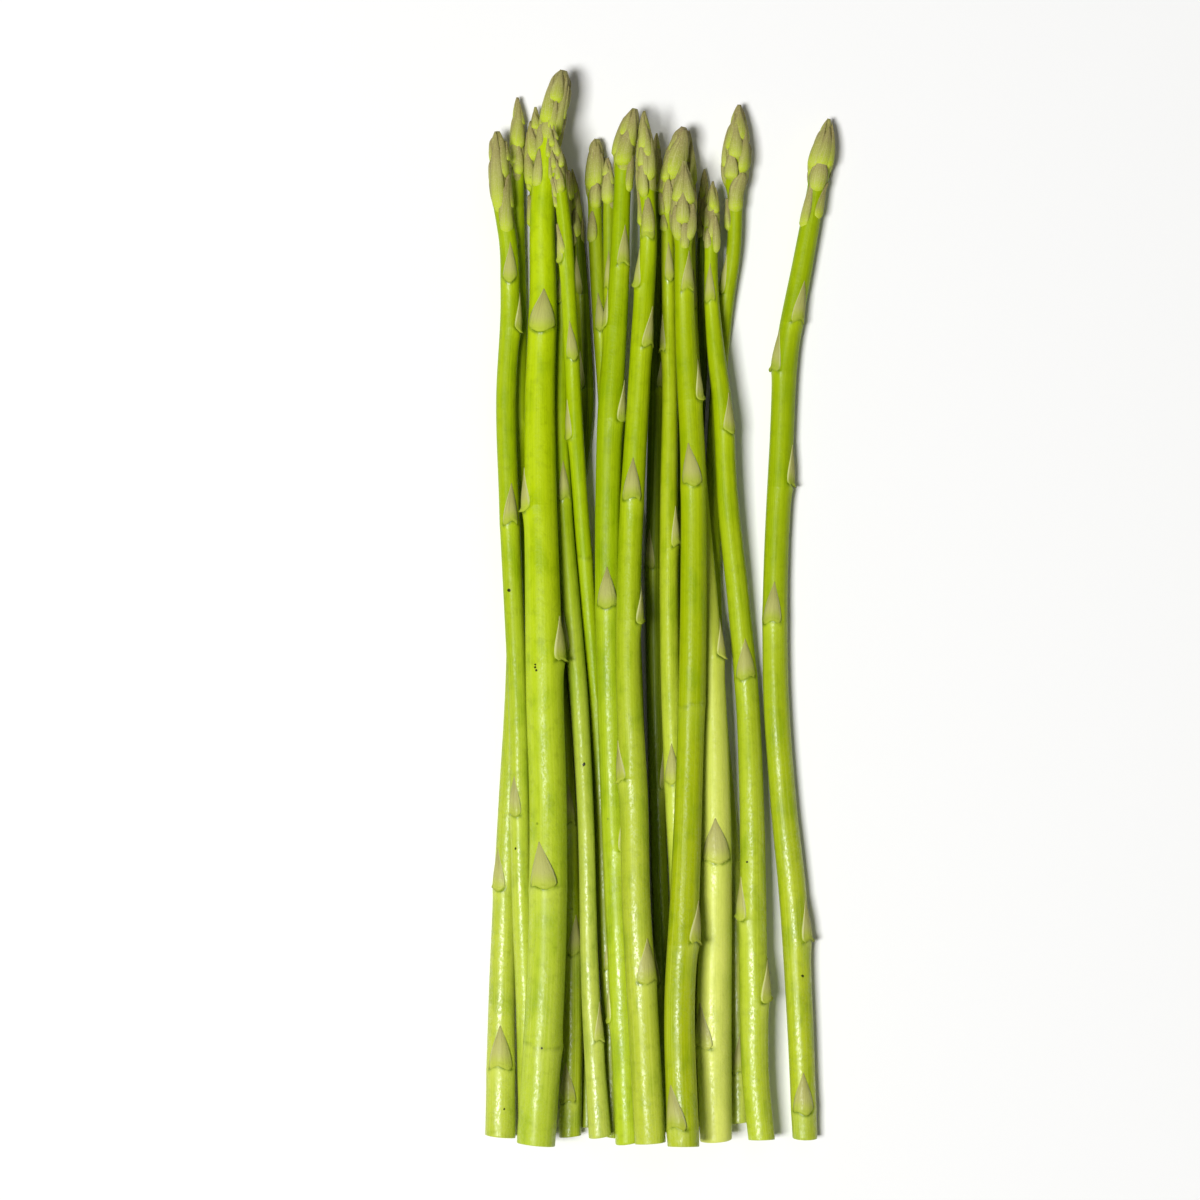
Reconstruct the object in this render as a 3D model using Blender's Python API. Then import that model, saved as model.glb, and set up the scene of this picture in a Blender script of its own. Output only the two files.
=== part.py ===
"""A loose bundle of raw green asparagus, lying on a flat surface with its tips towards +Y.

Each spear grew as one piece and is one solid: a round stem, the scale leaves that lie along it,
and the scaled head at its tip. The spears lie beside and on each other, and nothing ties them.
"""

import math

import bmesh
import bpy
import numpy as np
from mathutils import Vector

MM = 0.001
BUNDLE_MIDDLE = (0.07, 4.76)  # across and along, in the millimetres of the routes
STATION_STEP = 18.0  # between two sections of a stem
SPEAR_GAP = 0.3  # clear space left between two spears
SURFACE_GAP = 0.2  # space under a spear that other spears carry
BEND_RADIUS = 330.0  # the tightest bend that a spear takes under its own weight
GRID_STEP = 1.0  # places along the bundle where the heights are worked out
HEAD_RISE = 38.0  # length over which a spear on the surface rises to its thicker head
SOFTNESS = 7.0  # width over which the line of a carried spear is smoothed
LIFT_REACH = 10.0  # how far along a spear a lift at one place carries
LIFT_SOFTNESS = 5.0
LIFT_ROUNDS = 8
SLACK = 1.01  # share added to the space between two spears

STEM_SIDES = 8
FACET = math.pi / STEM_SIDES  # half the angle of one facet
SPIRAL = 137.5  # degrees from one scale leaf of a head to the next
SCALES_PER_MM = 0.42  # scale leaves of a head, over its length
CORE = 0.8  # the core of a head, as a share of its outer radius
CORE_PLACES = (0.22, 0.5, 0.76, 0.93)  # sections of the core, as shares of the head
HEAD_TURN = 50.0  # degrees from the spiral of one head to that of the next spear
FEWEST_SCALES = 7
LAST_SCALE = 0.78  # start of the topmost scale leaf, as a share of the head
SCALE_LENGTH = (0.44, 0.22)  # of the lowest one, as a share of the head, and what the top one lacks
SCALE_WIDEST = 0.4  # where a scale leaf is widest, as a share of its length
SCALE_HALF_ANGLE = (48.0, 14.0)  # of the lowest one, and what the top one has more
SCALE_ROOT = (0.6, 0.85)  # length hidden under the scale below, and its radius as a share of the core
SCALE_TIP = 0.9  # radius of its point, as a share of the outer radius

LEAF_LENGTH = 8.3  # a stem's scale leaf, plus the share below of the stem's thickness
LEAF_LENGTH_SHARE = 0.36
LEAF_HALF_ANGLE = 46.0
LEAF_STAND = 0.1  # how far a scale leaf stands out of the stem, plus the share below of its radius
LEAF_STAND_SHARE = 0.14
SPUR_STAND = 0.3  # more, for a leaf seen from its side, on a swollen node
SPUR_FACING = 55.0
LEAF_MIDDLE = (0.42, 0.64, 0.55)  # place of its middle section, and its width and stand there
LEAF_TIP = 0.12  # height of its point over the stem
BUD_HALF_ANGLE = 42.0
BUD_WIDEST = 0.36  # where a bud is widest, as a share of its length
BUD_ROOT = 0.9  # radius of its base, as a share of the stem's
BUD_TIP = 0.3
LEAF_MARGIN = 2.0  # length kept free beyond both ends of a leaf
SIDEWAYS = 0.3  # sine of the facing from which a leaf reaches towards a neighbour beside it
BESIDE = 0.72  # share of their common reach from which two spears count as side by side
ROOT = 0.3  # how deep a leaf is rooted, as a share of the radius that it leaves free
RIM = 0.97  # radius at the edges of a leaf, as a share of that at its crest
HEAD_BLEND = (0.25, 0.3)  # shares of the head over which its outer radius and its core take over
FLAT = 0.03  # what lies lower than this is set down on the surface
CREASE = 40.0  # degrees between two faces from which their edge is sharp

# Outer radius of a head from its base to its tip, as a share of half its width.
HEAD_SHAPE = np.array([(0.0, 0.80), (0.2, 0.94), (0.42, 1.0), (0.62, 0.88), (0.8, 0.62),
                       (0.92, 0.36), (1.0, 0.14)])

# Every spear in millimetres. route: along, across and thickness of the stem, from its cut end to
# its tip. head: length and width. leaves: along and facing, in degrees from straight up towards +X.
# buds: along, facing, length and stand of the plump buds under the head. under: the spear that this
# one passes below from a place on. propped: the place and height where such a spear is lifted.
SPEARS = {
    "spear_01": dict(
        on_surface=True,
        route=[(-128, -40, 7.75), (-93.5, -39.5, 7), (-43.5, -37.5, 6), (-18.5, -36.25, 5.5),
               (31.5, -35.5, 5), (81.5, -35.25, 3.75), (106.5, -35.75, 3.5), (133, -35.75, 3.25)],
        head=(25, 4.5),
        leaves=[(-110.5, 0), (-66, -50), (51.5, 80), (96, -40)],
        buds=[(106, -30, 9, 0.8)],
        colour=(0.40, 0.50, 0.03)),
    "spear_02": dict(
        route=[(-128.5, -32.75, 5.25), (-93.5, -33.5, 5.25), (-68.5, -34.5, 5.1), (-18.5, -35.5, 5),
               (31.5, -37.75, 5), (56.5, -38.5, 5), (81.5, -37.5, 4.75), (96.5, -38, 4.5),
               (106.5, -39.75, 4.25), (124, -40.75, 3.75)],
        head=(24, 5.4),
        leaves=[(-47, -40), (26, 5), (74, 75), (86.5, 0)],
        buds=[(100, 35, 10, 0.8), (101, -85, 9, 0.7)],
        colour=(0.34, 0.50, 0.02)),
    "spear_03": dict(
        route=[(-128, -22.5, 5.5), (-93.5, -22, 5.25), (-68.5, -22.5, 5), (-43.5, -23.4, 4.5),
               (-18.5, -25, 4.5), (6.5, -27.5, 4.25), (36.5, -29, 4), (56.5, -29.5, 4),
               (84, -30, 3.75), (106.5, -30.75, 3.75), (130.5, -31.25, 3.5)],
        head=(22.5, 4.6),
        leaves=[(-119, -20), (-82, 20), (-49.5, 10), (92, -30)],
        buds=[(103, 10, 8, 0.8)],
        colour=(0.30, 0.40, 0.03)),
    "spear_04": dict(
        under=("spear_05", 60),
        route=[(-129, -31, 9.5), (-106, -29.5, 9.5), (-81, -28.25, 9.4), (-43.5, -28, 9.25),
               (-18.5, -28.75, 9.25), (6.5, -29.25, 8.75), (31.5, -29.75, 8), (56.5, -30, 7.5),
               (81.5, -29.25, 6.75), (106.5, -29.25, 6), (124, -27.25, 5.75), (139, -24, 4.75)],
        head=(24, 6.9),
        leaves=[(-103.5, 150), (-65, -15), (-8.5, 80), (29, -85), (74, -5)],
        buds=[(109.5, -68, 9, 0.7)],
        colour=(0.42, 0.56, 0.02)),
    "spear_05": dict(
        propped=(116, 16.4),
        route=[(-128, -12, 4.25), (-101, -12.4, 4), (-68.5, -14, 3.9), (-43.5, -14.75, 3.9),
               (-18.5, -16, 3.9), (6.5, -18, 3.9), (31.5, -19.9, 3.9), (56.5, -21.5, 3.9),
               (81.5, -22.75, 3.75), (99, -23.75, 3.5), (116.5, -26, 3.25), (123.5, -27, 3)],
        head=(19, 4.4),
        leaves=[(-86, 20), (-18.5, 60), (16.5, 160), (47.5, -75), (67, 10), (91, -75)],
        buds=[(99.5, 75, 7, 0.8)],
        colour=(0.40, 0.55, 0.03)),
    "spear_06": dict(
        under=("spear_05", 25),
        route=[(-127.5, -15, 5.75), (-93.5, -17.25, 4.75), (-43.5, -18.75, 4.25), (-18.5, -20.2, 4.6),
               (6.5, -22.25, 4.5), (31.5, -24.1, 4), (56.5, -24.7, 3.75), (94, -24, 3.5),
               (118.5, -24.25, 3)],
        head=(22, 4),
        leaves=[(-103.5, 50), (-5.5, -80), (32, 10), (81.5, -20)],
        buds=[(92, 70, 7, 0.7)],
        colour=(0.36, 0.50, 0.02)),
    "spear_07": dict(
        on_surface=True,
        route=[(-126, -18, 3.5), (-93.5, -18, 3.5), (-68.5, -18.3, 3.6), (-43.5, -18.9, 3.75),
               (-18.5, -20.3, 3.75), (6.5, -22.05, 3.6), (31.5, -20.5, 3.5), (56.5, -18.3, 3.5),
               (74, -19, 3.4), (94, -20.25, 3.25), (115, -22, 3)],
        head=(21.5, 3.6),
        leaves=[(-90, -60), (-30, -50), (25, 20), (60, -60), (84, -40)],
        buds=[],
        colour=(0.22, 0.30, 0.02)),
    "spear_08": dict(
        on_surface=True,
        route=[(-127.5, -7.5, 4.5), (-93.5, -8.5, 4.5), (-43.5, -9.9, 4.4), (-18.5, -10.75, 4.25),
               (6.5, -12, 4.25), (56.5, -13.5, 4), (81.5, -15.25, 3.75), (106.5, -16.25, 3.5),
               (122.5, -15.75, 3)],
        head=(18, 5),
        leaves=[(-68.5, 30), (-3.5, -60), (41.5, 75), (74.5, 10)],
        buds=[(94, -70, 8, 0.7)],
        colour=(0.36, 0.48, 0.02)),
    "spear_09": dict(
        route=[(-126.5, -2.75, 3.75), (-93.5, -3.8, 3.9), (-43.5, -5.2, 3.9), (-18.5, -6, 3.75),
               (6.5, -7, 3.75), (31.5, -8.4, 3.6), (56.5, -10.4, 3.5), (81.5, -12.25, 3.25),
               (106.5, -12.75, 3), (117.5, -13, 2.75)],
        head=(15, 3.6),
        leaves=[(-70, 40), (-10, -60), (40, 70), (85, -20)],
        buds=[],
        colour=(0.30, 0.40, 0.03)),
    "spear_10": dict(
        route=[(-129, -8, 6.25), (-93.5, -9.5, 6.25), (-43.5, -11.75, 6.1), (-18.5, -12.5, 6.25),
               (31.5, -13, 6.25), (56.5, -12.25, 6.25), (81.5, -10.5, 5.25), (106.5, -9.5, 4.25),
               (119, -8.75, 4), (129.5, -6.25, 3.5)],
        head=(20, 5.6),
        leaves=[(-98.5, -110), (-56, 60), (5, -5), (51.5, 75), (74, -100), (90.5, 30)],
        buds=[(108, 45, 7.5, 1.0), (112.5, -80, 7, 0.9)],
        colour=(0.36, 0.52, 0.02)),
    "spear_11": dict(
        route=[(-128.5, -2.5, 7.75), (-93.5, -4.5, 7.5), (-68.5, -6, 7.1), (-43.5, -6.5, 7),
               (-6, -8, 6.1), (19, -7.5, 6), (56.5, -5.5, 5.5), (81.5, -4, 5), (94, -3, 4.25),
               (111.5, -3.5, 4), (128.5, -4, 3.5)],
        head=(25, 5.3),
        leaves=[(-88, 35), (-38.5, -75), (1, 80), (32, -5), (70, 45), (84.5, -75), (97, 0)],
        buds=[(102, 75, 8, 0.7)],
        colour=(0.36, 0.52, 0.02)),
    "spear_12": dict(
        on_surface=True,
        route=[(-127, 1.75, 4.5), (-93.5, 1, 4.4), (-43.5, -0.5, 4.25), (6.5, -1.5, 4.25),
               (56.5, -1, 4), (106.5, -1.25, 3.75), (124, -0.75, 3)],
        head=(21.5, 3.9),
        leaves=[(-90, -60), (-41, 60), (15, -40), (60, 50), (92, -60)],
        buds=[],
        colour=(0.24, 0.32, 0.02)),
    "spear_13": dict(
        route=[(-127.5, 6.2, 5), (-93.5, 5.2, 5), (-68.5, 5, 5), (-43.5, 3.75, 5), (-6, 2.5, 5),
               (31.5, 2.25, 4.5), (56.5, 2.5, 4), (81.5, 2.25, 3.5), (99, 2, 3.25), (111.5, 2.75, 3.25),
               (125, 6, 3)],
        head=(22, 6),
        leaves=[(-83.5, 0), (-39, -10), (20.5, 60), (69, -75), (87, 20)],
        buds=[(98, -60, 6, 0.9), (103, -85, 8, 1.0)],
        colour=(0.42, 0.54, 0.05)),
    "spear_14": dict(
        on_surface=True,
        route=[(-126, 6.1, 3.75), (-93.5, 5.5, 3.75), (-68.5, 5, 3.6), (-43.5, 4.6, 3.6),
               (-6, 4.2, 3.5), (19, 4.2, 3.5), (56.5, 4.75, 3.25), (84, 5.75, 2.75)],
        head=(15, 3.1),
        leaves=[(-80, 30), (-25, -40), (20, 15), (50, -30)],
        buds=[],
        colour=(0.32, 0.42, 0.03)),
    "spear_15": dict(
        route=[(-129, 5.75, 7.75), (-93.5, 4.75, 7.5), (-68.5, 6, 7.25), (-43.5, 7, 6.75),
               (6.5, 8.25, 6.5), (44, 8, 6), (69, 6.5, 5.25), (94, 5.75, 4.25), (116, 6, 3.75)],
        head=(22, 7),
        leaves=[(-124, -30), (-78.5, 70), (-19, 170), (35.5, -5), (56.5, 80), (84, 30)],
        buds=[(94, -25, 8, 0.8)],
        colour=(0.34, 0.50, 0.02)),
    "spear_16": dict(
        on_surface=True,
        route=[(-125.5, 10, 3.75), (-93.5, 9.6, 3.75), (-43.5, 9.1, 3.75),
               (6.5, 8.6, 3.75), (31.5, 9, 3.75), (56.5, 9.75, 3.6), (81.5, 10.75, 3.5),
               (115, 11.25, 3)],
        head=(21, 3.6),
        leaves=[(-85, 30), (-30, 60), (20, 40), (60, -30), (88, 60)],
        buds=[],
        colour=(0.20, 0.28, 0.02)),
    "spear_17": dict(
        route=[(-128.5, 14, 8), (-99.5, 13.5, 8.75), (-68.5, 14, 8), (-43.5, 14, 7.25),
               (-18.5, 13.5, 6.1), (6.5, 12, 5), (31.5, 10, 4.5), (56.5, 8.5, 4.25),
               (81.5, 7.25, 4), (124.5, 7.25, 3.25)],
        head=(23, 4.2),
        leaves=[(-105, -50), (-58.5, 0), (-8, 75), (41.5, -100), (80, 30)],
        buds=[(99, 60, 8, 0.7)],
        colour=(0.60, 0.64, 0.16)),
    "spear_18": dict(
        on_surface=True,
        route=[(-125, 20, 4.5), (-93.5, 19.5, 4.5), (-68.5, 18.75, 4.5), (-43.5, 16.75, 4.5),
               (-18.5, 14.5, 4.4), (6.5, 13.5, 4.25), (31.5, 13.5, 4.1), (56.5, 14.5, 4),
               (81.5, 16.75, 3.9), (94, 18.5, 3.75), (111.5, 19, 3.75), (131, 20, 3.5)],
        head=(24, 7.5),
        leaves=[(-112, 0), (55, 60), (84, -70)],
        buds=[(99, -75, 8, 0.7), (103.5, 25, 9.5, 1.0)],
        colour=(0.36, 0.46, 0.06)),
    "spear_19": dict(
        route=[(-128.5, 25.5, 6.75), (-113.5, 24, 7), (-93.5, 23.5, 7.25), (-43.5, 23, 6.25),
               (-18.5, 22, 6), (6.5, 19.75, 5.75), (31.5, 17, 5.5), (56.5, 15.5, 5),
               (69, 14, 4.5), (81.5, 13, 3.75), (111.5, 13.25, 3)],
        head=(20.5, 4.4),
        leaves=[(-93.5, 70), (-73, -75), (-13, 0), (48.5, 40), (81.5, -20)],
        buds=[(92, 75, 8, 0.8)],
        colour=(0.34, 0.50, 0.02)),
    "spear_20": dict(
        on_surface=True,
        route=[(-128.5, 36.5, 6.25), (-93.5, 35, 6.75), (-68.5, 33.5, 7), (-43.5, 31, 6.6),
               (-18.5, 29.25, 6.5), (6.5, 29, 6.25), (44, 30.5, 6.1), (69, 32, 5.9),
               (91.5, 36, 5.25), (106.5, 38.75, 4.75), (127.5, 42.5, 3.75)],
        head=(19, 6.6),
        leaves=[(-122, -5), (-79, 70), (1, -20), (35.5, 80), (64, -70), (77, 40)],
        buds=[(99.5, -80, 10.5, 1.0), (103, 75, 8, 1.0)],
        colour=(0.38, 0.54, 0.02)),
}

# The order in which the spears are laid, lowest first.
LAYING = ("spear_01", "spear_07", "spear_08", "spear_12", "spear_14", "spear_16", "spear_18",
          "spear_20", "spear_03", "spear_17", "spear_02", "spear_09", "spear_13", "spear_19",
          "spear_05", "spear_06", "spear_04", "spear_10", "spear_11", "spear_15")


def curve_through(rows, column, at):
    """Reads a column of rows, whose first column is the place along, on a smooth curve through them."""
    rows = np.asarray(rows, float)
    along, value = rows[:, 0], rows[:, column]
    steps = np.diff(along)
    slopes = np.diff(value) / steps
    inner = (slopes[:-1] * steps[1:] + slopes[1:] * steps[:-1]) / (steps[1:] + steps[:-1])
    tangents = np.concatenate([slopes[:1], inner, slopes[-1:]])
    k = np.clip(np.searchsorted(along, at) - 1, 0, len(steps) - 1)
    t = np.clip((at - along[k]) / steps[k], 0.0, 1.0)
    start = (2 * t**3 - 3 * t**2 + 1) * value[k] + (t**3 - 2 * t**2 + t) * steps[k] * tangents[k]
    end = (3 * t**2 - 2 * t**3) * value[k + 1] + (t**3 - t**2) * steps[k] * tangents[k + 1]
    return start + end


def smooth_step(value):
    """Rises from 0 to 1 as the value does, level at both ends."""
    t = np.clip(value, 0.0, 1.0)
    return t * t * (3 - 2 * t)


class Spear:
    """The measures of one spear at any place along it, in millimetres."""

    def __init__(self, route, head, leaves, buds, colour, on_surface=False, propped=None, under=None):
        self.route, self.colour, self.on_surface = route, colour, on_surface
        self.propped, self.under = propped, under
        self.head_length, self.head_width = head
        self.butt, self.tip = route[0][0], route[-1][0]
        self.head_base = self.tip - self.head_length
        self.leaves = [self.stem_leaf(*leaf) for leaf in leaves]
        self.leaves += [(along, facing, length, stand, BUD_HALF_ANGLE)
                        for along, facing, length, stand in buds]
        self.heights = None

    def stem_leaf(self, along, facing):
        """The length and stand of a stem's scale leaf, from the stem's thickness and its facing."""
        radius = float(self.stem(along))
        length = LEAF_LENGTH + LEAF_LENGTH_SHARE * 2 * radius
        stand = LEAF_STAND + LEAF_STAND_SHARE * radius
        if abs(facing) > SPUR_FACING:
            stand += SPUR_STAND
        return along, facing, length, stand, LEAF_HALF_ANGLE

    def across(self, along):
        return curve_through(self.route, 1, along)

    def stem(self, along):
        """Radius of the bare stem."""
        return curve_through(self.route, 2, along) / 2

    def outer(self, along):
        """Radius of the stem, or of the scaled head past its base."""
        share = (along - self.head_base) / self.head_length
        head = self.head_width / 2 * curve_through(HEAD_SHAPE, 1, share)
        blend = smooth_step(share / HEAD_BLEND[0])
        return np.where(share > 0, self.stem(along) * (1 - blend) + head * blend, self.stem(along))

    def core(self, along):
        """Radius of the solid body: the stem, or the core of the head."""
        share = (along - self.head_base) / self.head_length
        return self.outer(along) * (1 - (1 - CORE) * smooth_step(share / HEAD_BLEND[1]))

    def reach(self, along, side=None):
        """Radius that holds the spear with all its leaves, or only those towards one side, -1 or 1."""
        reach = self.outer(along)
        for start, facing, length, stand, _ in self.leaves:
            near = (along > start - LEAF_MARGIN) & (along < start + length + LEAF_MARGIN)
            if side:
                near &= math.sin(math.radians(facing)) * side > SIDEWAYS
            reach = np.where(near, np.maximum(reach, self.outer(along) + stand), reach)
        return reach

    def height(self, along):
        """Height of the middle of the stem over the surface."""
        return np.interp(along, GRID, self.heights)

    def frame(self, along):
        """The middle of the stem, and the directions along it, to its side and up."""
        step = GRID_STEP
        middle = Vector((float(self.across(along)), along, float(self.height(along))))
        before, after = max(along - step, self.butt), min(along + step, self.tip)
        run = Vector((float(self.across(after) - self.across(before)), after - before,
                      float(self.height(after) - self.height(before)))).normalized()
        up = (Vector((0, 0, 1)) - run * run.z).normalized()
        return middle, run, run.cross(up), up

    def point(self, along, facing, radius):
        """A point round the stem, in metres: facing in degrees from straight up, radius in millimetres."""
        middle, _, side, up = self.frame(along)
        turn = math.radians(facing)
        return (middle + (up * math.cos(turn) + side * math.sin(turn)) * radius) * MM


GRID = np.arange(min(s["route"][0][0] for s in SPEARS.values()) - GRID_STEP,
                 max(s["route"][-1][0] for s in SPEARS.values()) + 2 * GRID_STEP, GRID_STEP)


def blurred(values, width):
    """Moving average with soft weights over the given width, which keeps a straight run straight."""
    count = int(3 * width / GRID_STEP)
    weights = np.exp(-0.5 * (np.arange(-count, count + 1) * GRID_STEP / width) ** 2)
    first = 2 * values[0] - values[count:0:-1]
    last = 2 * values[-1] - values[-2:-count - 2:-1]
    return np.convolve(np.concatenate([first, values, last]), weights / weights.sum(), "valid")


def draped(low, along):
    """The lowest gentle curve that stays above the heights in low, as a spear lying on its supports."""
    apart = along[:, None] - along[None, :]
    height = (low[None, :] - apart**2 / (2 * BEND_RADIUS)).max(axis=1)
    height = blurred(height, SOFTNESS)
    for _ in range(LIFT_ROUNDS):
        short = np.maximum(low - height, 0)
        spread = np.array([short[abs(along - place) < LIFT_REACH].max() for place in along])
        height += blurred(spread, LIFT_SOFTNESS)
    return height + max(0.0, float((low - height).max()))


def lay_spears(spears):
    """Gives each spear its heights: on the surface, or carried by the spears laid before it.

    A propped spear is lifted at one place by a spear that is laid after it and passes under it.
    """
    laid = []
    for name in LAYING:
        spear = spears[name]
        here = (GRID >= spear.butt) & (GRID <= spear.tip)
        along = GRID[here]
        if spear.on_surface:
            rest = spear.stem(along) * math.cos(FACET)
            rise = spear.head_width / 2 + SURFACE_GAP - rest
            start = spear.head_base - HEAD_RISE
            height = rest + rise * smooth_step((along - start) / HEAD_RISE)
        else:
            low = spear.reach(along) + SURFACE_GAP
            if spear.propped:
                low = np.where(abs(along - spear.propped[0]) < GRID_STEP, spear.propped[1], low)
            for other in laid:
                apart = spear.across(along) - other.across(along)
                flanks = np.where(apart > 0, spear.reach(along, -1) + other.reach(along, 1),
                                  spear.reach(along, 1) + other.reach(along, -1))
                stacked = abs(apart) < BESIDE * flanks
                span = np.where(stacked, spear.reach(along) + other.reach(along), flanks)
                span = span * SLACK + SPEAR_GAP
                over = (abs(apart) < span) & (along >= other.butt) & (along <= other.tip)
                if spear.under and spears[spear.under[0]] is other:
                    over &= along < spear.under[1]
                lifted = other.height(along) + np.sqrt(np.maximum(span**2 - apart**2, 0))
                low = np.where(over, np.maximum(low, lifted), low)
            height = draped(low, along)
        spear.heights = np.interp(GRID, along, height)
        laid.append(spear)


def stem_object(name, spear):
    """The stem and the core of the head: a tapering tube through the spear's stations, as a mesh."""
    count = math.ceil((spear.head_base - spear.butt) / STATION_STEP)
    stations = list(np.linspace(spear.butt, spear.head_base, count + 1))
    stations += [spear.head_base + share * spear.head_length for share in CORE_PLACES]
    curve = bpy.data.curves.new(name + "_route", "CURVE")
    curve.dimensions = "3D"
    curve.twist_mode = "Z_UP"
    curve.bevel_depth = MM
    curve.bevel_resolution = STEM_SIDES // 2 - 2
    curve.use_fill_caps = True
    spline = curve.splines.new("POLY")
    spline.points.add(len(stations) - 1)
    for point, along in zip(spline.points, stations):
        point.co = (*(spear.frame(along)[0] * MM), 1)
        point.radius = float(spear.core(along))
        point.tilt = FACET
    tube = bpy.data.objects.new(name + "_route", curve)
    bpy.context.scene.collection.objects.link(tube)
    evaluated = tube.evaluated_get(bpy.context.evaluated_depsgraph_get())
    mesh = bpy.data.meshes.new_from_object(evaluated)
    work = bmesh.new()
    work.from_mesh(mesh)
    bmesh.ops.remove_doubles(work, verts=work.verts, dist=0.00001)
    bmesh.ops.recalc_face_normals(work, faces=work.faces)
    work.to_mesh(mesh)
    work.free()
    solid = bpy.data.objects.new(name, mesh)
    solid.matrix_world = tube.matrix_world
    bpy.data.objects.remove(tube)
    return solid


def leaf_object(name, spear, base, rings, tip, facing):
    """A scale leaf: a loft through sections, each along, half angle, outer and inner radius, to a tip.

    Its base is a point under the leaf below it, or, where base is None, the first section.
    """
    work = bmesh.new()
    sections = []
    for along, half_angle, outer, inner in rings:
        corners = [(-half_angle, RIM * outer), (0, outer), (half_angle, RIM * outer), (0, inner)]
        sections.append([work.verts.new(spear.point(along, facing + turn, radius))
                         for turn, radius in corners])
    point = work.verts.new(spear.point(tip[0], facing, tip[1]))
    for near, far in zip(sections, sections[1:]):
        for k in range(len(near)):
            after = (k + 1) % len(near)
            work.faces.new((near[k], near[after], far[after], far[k]))
    for k in range(len(sections[-1])):
        work.faces.new((sections[-1][k], sections[-1][(k + 1) % len(sections[-1])], point))
    if base:
        root = work.verts.new(spear.point(base[0], facing, base[1]))
        for k in range(len(sections[0])):
            work.faces.new((sections[0][(k + 1) % len(sections[0])], sections[0][k], root))
    else:
        work.faces.new(sections[0][::-1])
    bmesh.ops.triangulate(work, faces=work.faces)
    bmesh.ops.recalc_face_normals(work, faces=work.faces)
    mesh = bpy.data.meshes.new(name)
    work.to_mesh(mesh)
    work.free()
    return bpy.data.objects.new(name, mesh)


def stem_leaves(spear):
    """The scale leaves on the stem, widest at their base, and the teardrop buds under the head."""
    for start, facing, length, stand, half_angle in spear.leaves:
        radius, end = float(spear.core(start)), start + length
        inner = ROOT * radius
        if half_angle == BUD_HALF_ANGLE:
            middle = start + BUD_WIDEST * length
            outer = float(spear.core(middle)) + stand
            yield ((start, BUD_ROOT * radius), [(middle, half_angle, outer, inner)],
                   (end, float(spear.core(end)) + BUD_TIP), facing)
        else:
            place, width, rise = LEAF_MIDDLE
            middle = start + place * length
            outer = float(spear.core(middle)) + rise * stand
            yield (None, [(start, half_angle, radius + stand, inner),
                          (middle, width * half_angle, outer, inner)],
                   (end, float(spear.core(end)) + LEAF_TIP), facing)


def head_leaves(spear, turn):
    """The scale leaves that cover a head, in a spiral from its base to its tip."""
    count = max(FEWEST_SCALES, round(spear.head_length * SCALES_PER_MM))
    for k in range(count):
        share = LAST_SCALE * k / (count - 1)
        start = spear.head_base + share * spear.head_length
        length = spear.head_length * (SCALE_LENGTH[0] - SCALE_LENGTH[1] * share)
        middle, end = start + SCALE_WIDEST * length, min(start + length, spear.tip - SURFACE_GAP)
        half_angle = SCALE_HALF_ANGLE[0] + SCALE_HALF_ANGLE[1] * share
        inner = ROOT * float(spear.core(middle))
        yield ((start - SCALE_ROOT[0], SCALE_ROOT[1] * float(spear.core(start))),
               [(middle, half_angle, float(spear.outer(middle)), inner)],
               (end, SCALE_TIP * float(spear.outer(end))), turn + k * SPIRAL)


def spear_material(name, colour):
    """Raw green asparagus: a moist, waxy skin."""
    material = bpy.data.materials.new(name)
    material.use_nodes = True
    shader = material.node_tree.nodes["Principled BSDF"]
    shader.inputs["Base Color"].default_value = (*colour, 1)
    shader.inputs["Roughness"].default_value = 0.38
    shader.inputs["Metallic"].default_value = 0.0
    material.diffuse_color = (*colour, 1)
    return material


def build_spear(name, spear, turn, bundle):
    """One spear: its stem joined with all its scale leaves, set down on the surface."""
    solid = stem_object(name, spear)
    bundle.objects.link(solid)
    leaves = bpy.data.collections.new(name + "_leaves")
    bpy.context.scene.collection.children.link(leaves)
    for sections in [*stem_leaves(spear), *head_leaves(spear, turn)]:
        leaves.objects.link(leaf_object(name + "_leaf", spear, *sections))
    union = solid.modifiers.new("leaves", "BOOLEAN")
    union.operation = "UNION"
    union.solver = "EXACT"
    union.operand_type = "COLLECTION"
    union.collection = leaves
    evaluated = solid.evaluated_get(bpy.context.evaluated_depsgraph_get())
    joined = bpy.data.meshes.new_from_object(evaluated)
    solid.modifiers.clear()
    solid.data = joined
    for leaf in list(leaves.objects):
        bpy.data.objects.remove(leaf)
    bpy.data.collections.remove(leaves)

    places = np.empty(len(joined.vertices) * 3)
    joined.vertices.foreach_get("co", places)
    places = places.reshape(-1, 3)
    places[:, :2] -= np.array(BUNDLE_MIDDLE) * MM
    places[places[:, 2] < FLAT * MM, 2] = 0.0
    joined.vertices.foreach_set("co", places.ravel())
    joined.update()
    joined.materials.clear()
    joined.materials.append(spear_material(name, spear.colour))
    joined.shade_smooth()
    joined.set_sharp_from_angle(angle=math.radians(CREASE))


def build_bundle():
    for old in list(bpy.data.objects):
        bpy.data.objects.remove(old)
    bundle = bpy.data.collections.new("asparagus_bundle")
    bpy.context.scene.collection.children.link(bundle)
    spears = {name: Spear(**measures) for name, measures in SPEARS.items()}
    lay_spears(spears)
    for place, (name, spear) in enumerate(spears.items()):
        build_spear(name, spear, HEAD_TURN * place, bundle)


build_bundle()
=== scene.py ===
import math

import bpy
import numpy as np
from mathutils import Matrix


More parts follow.
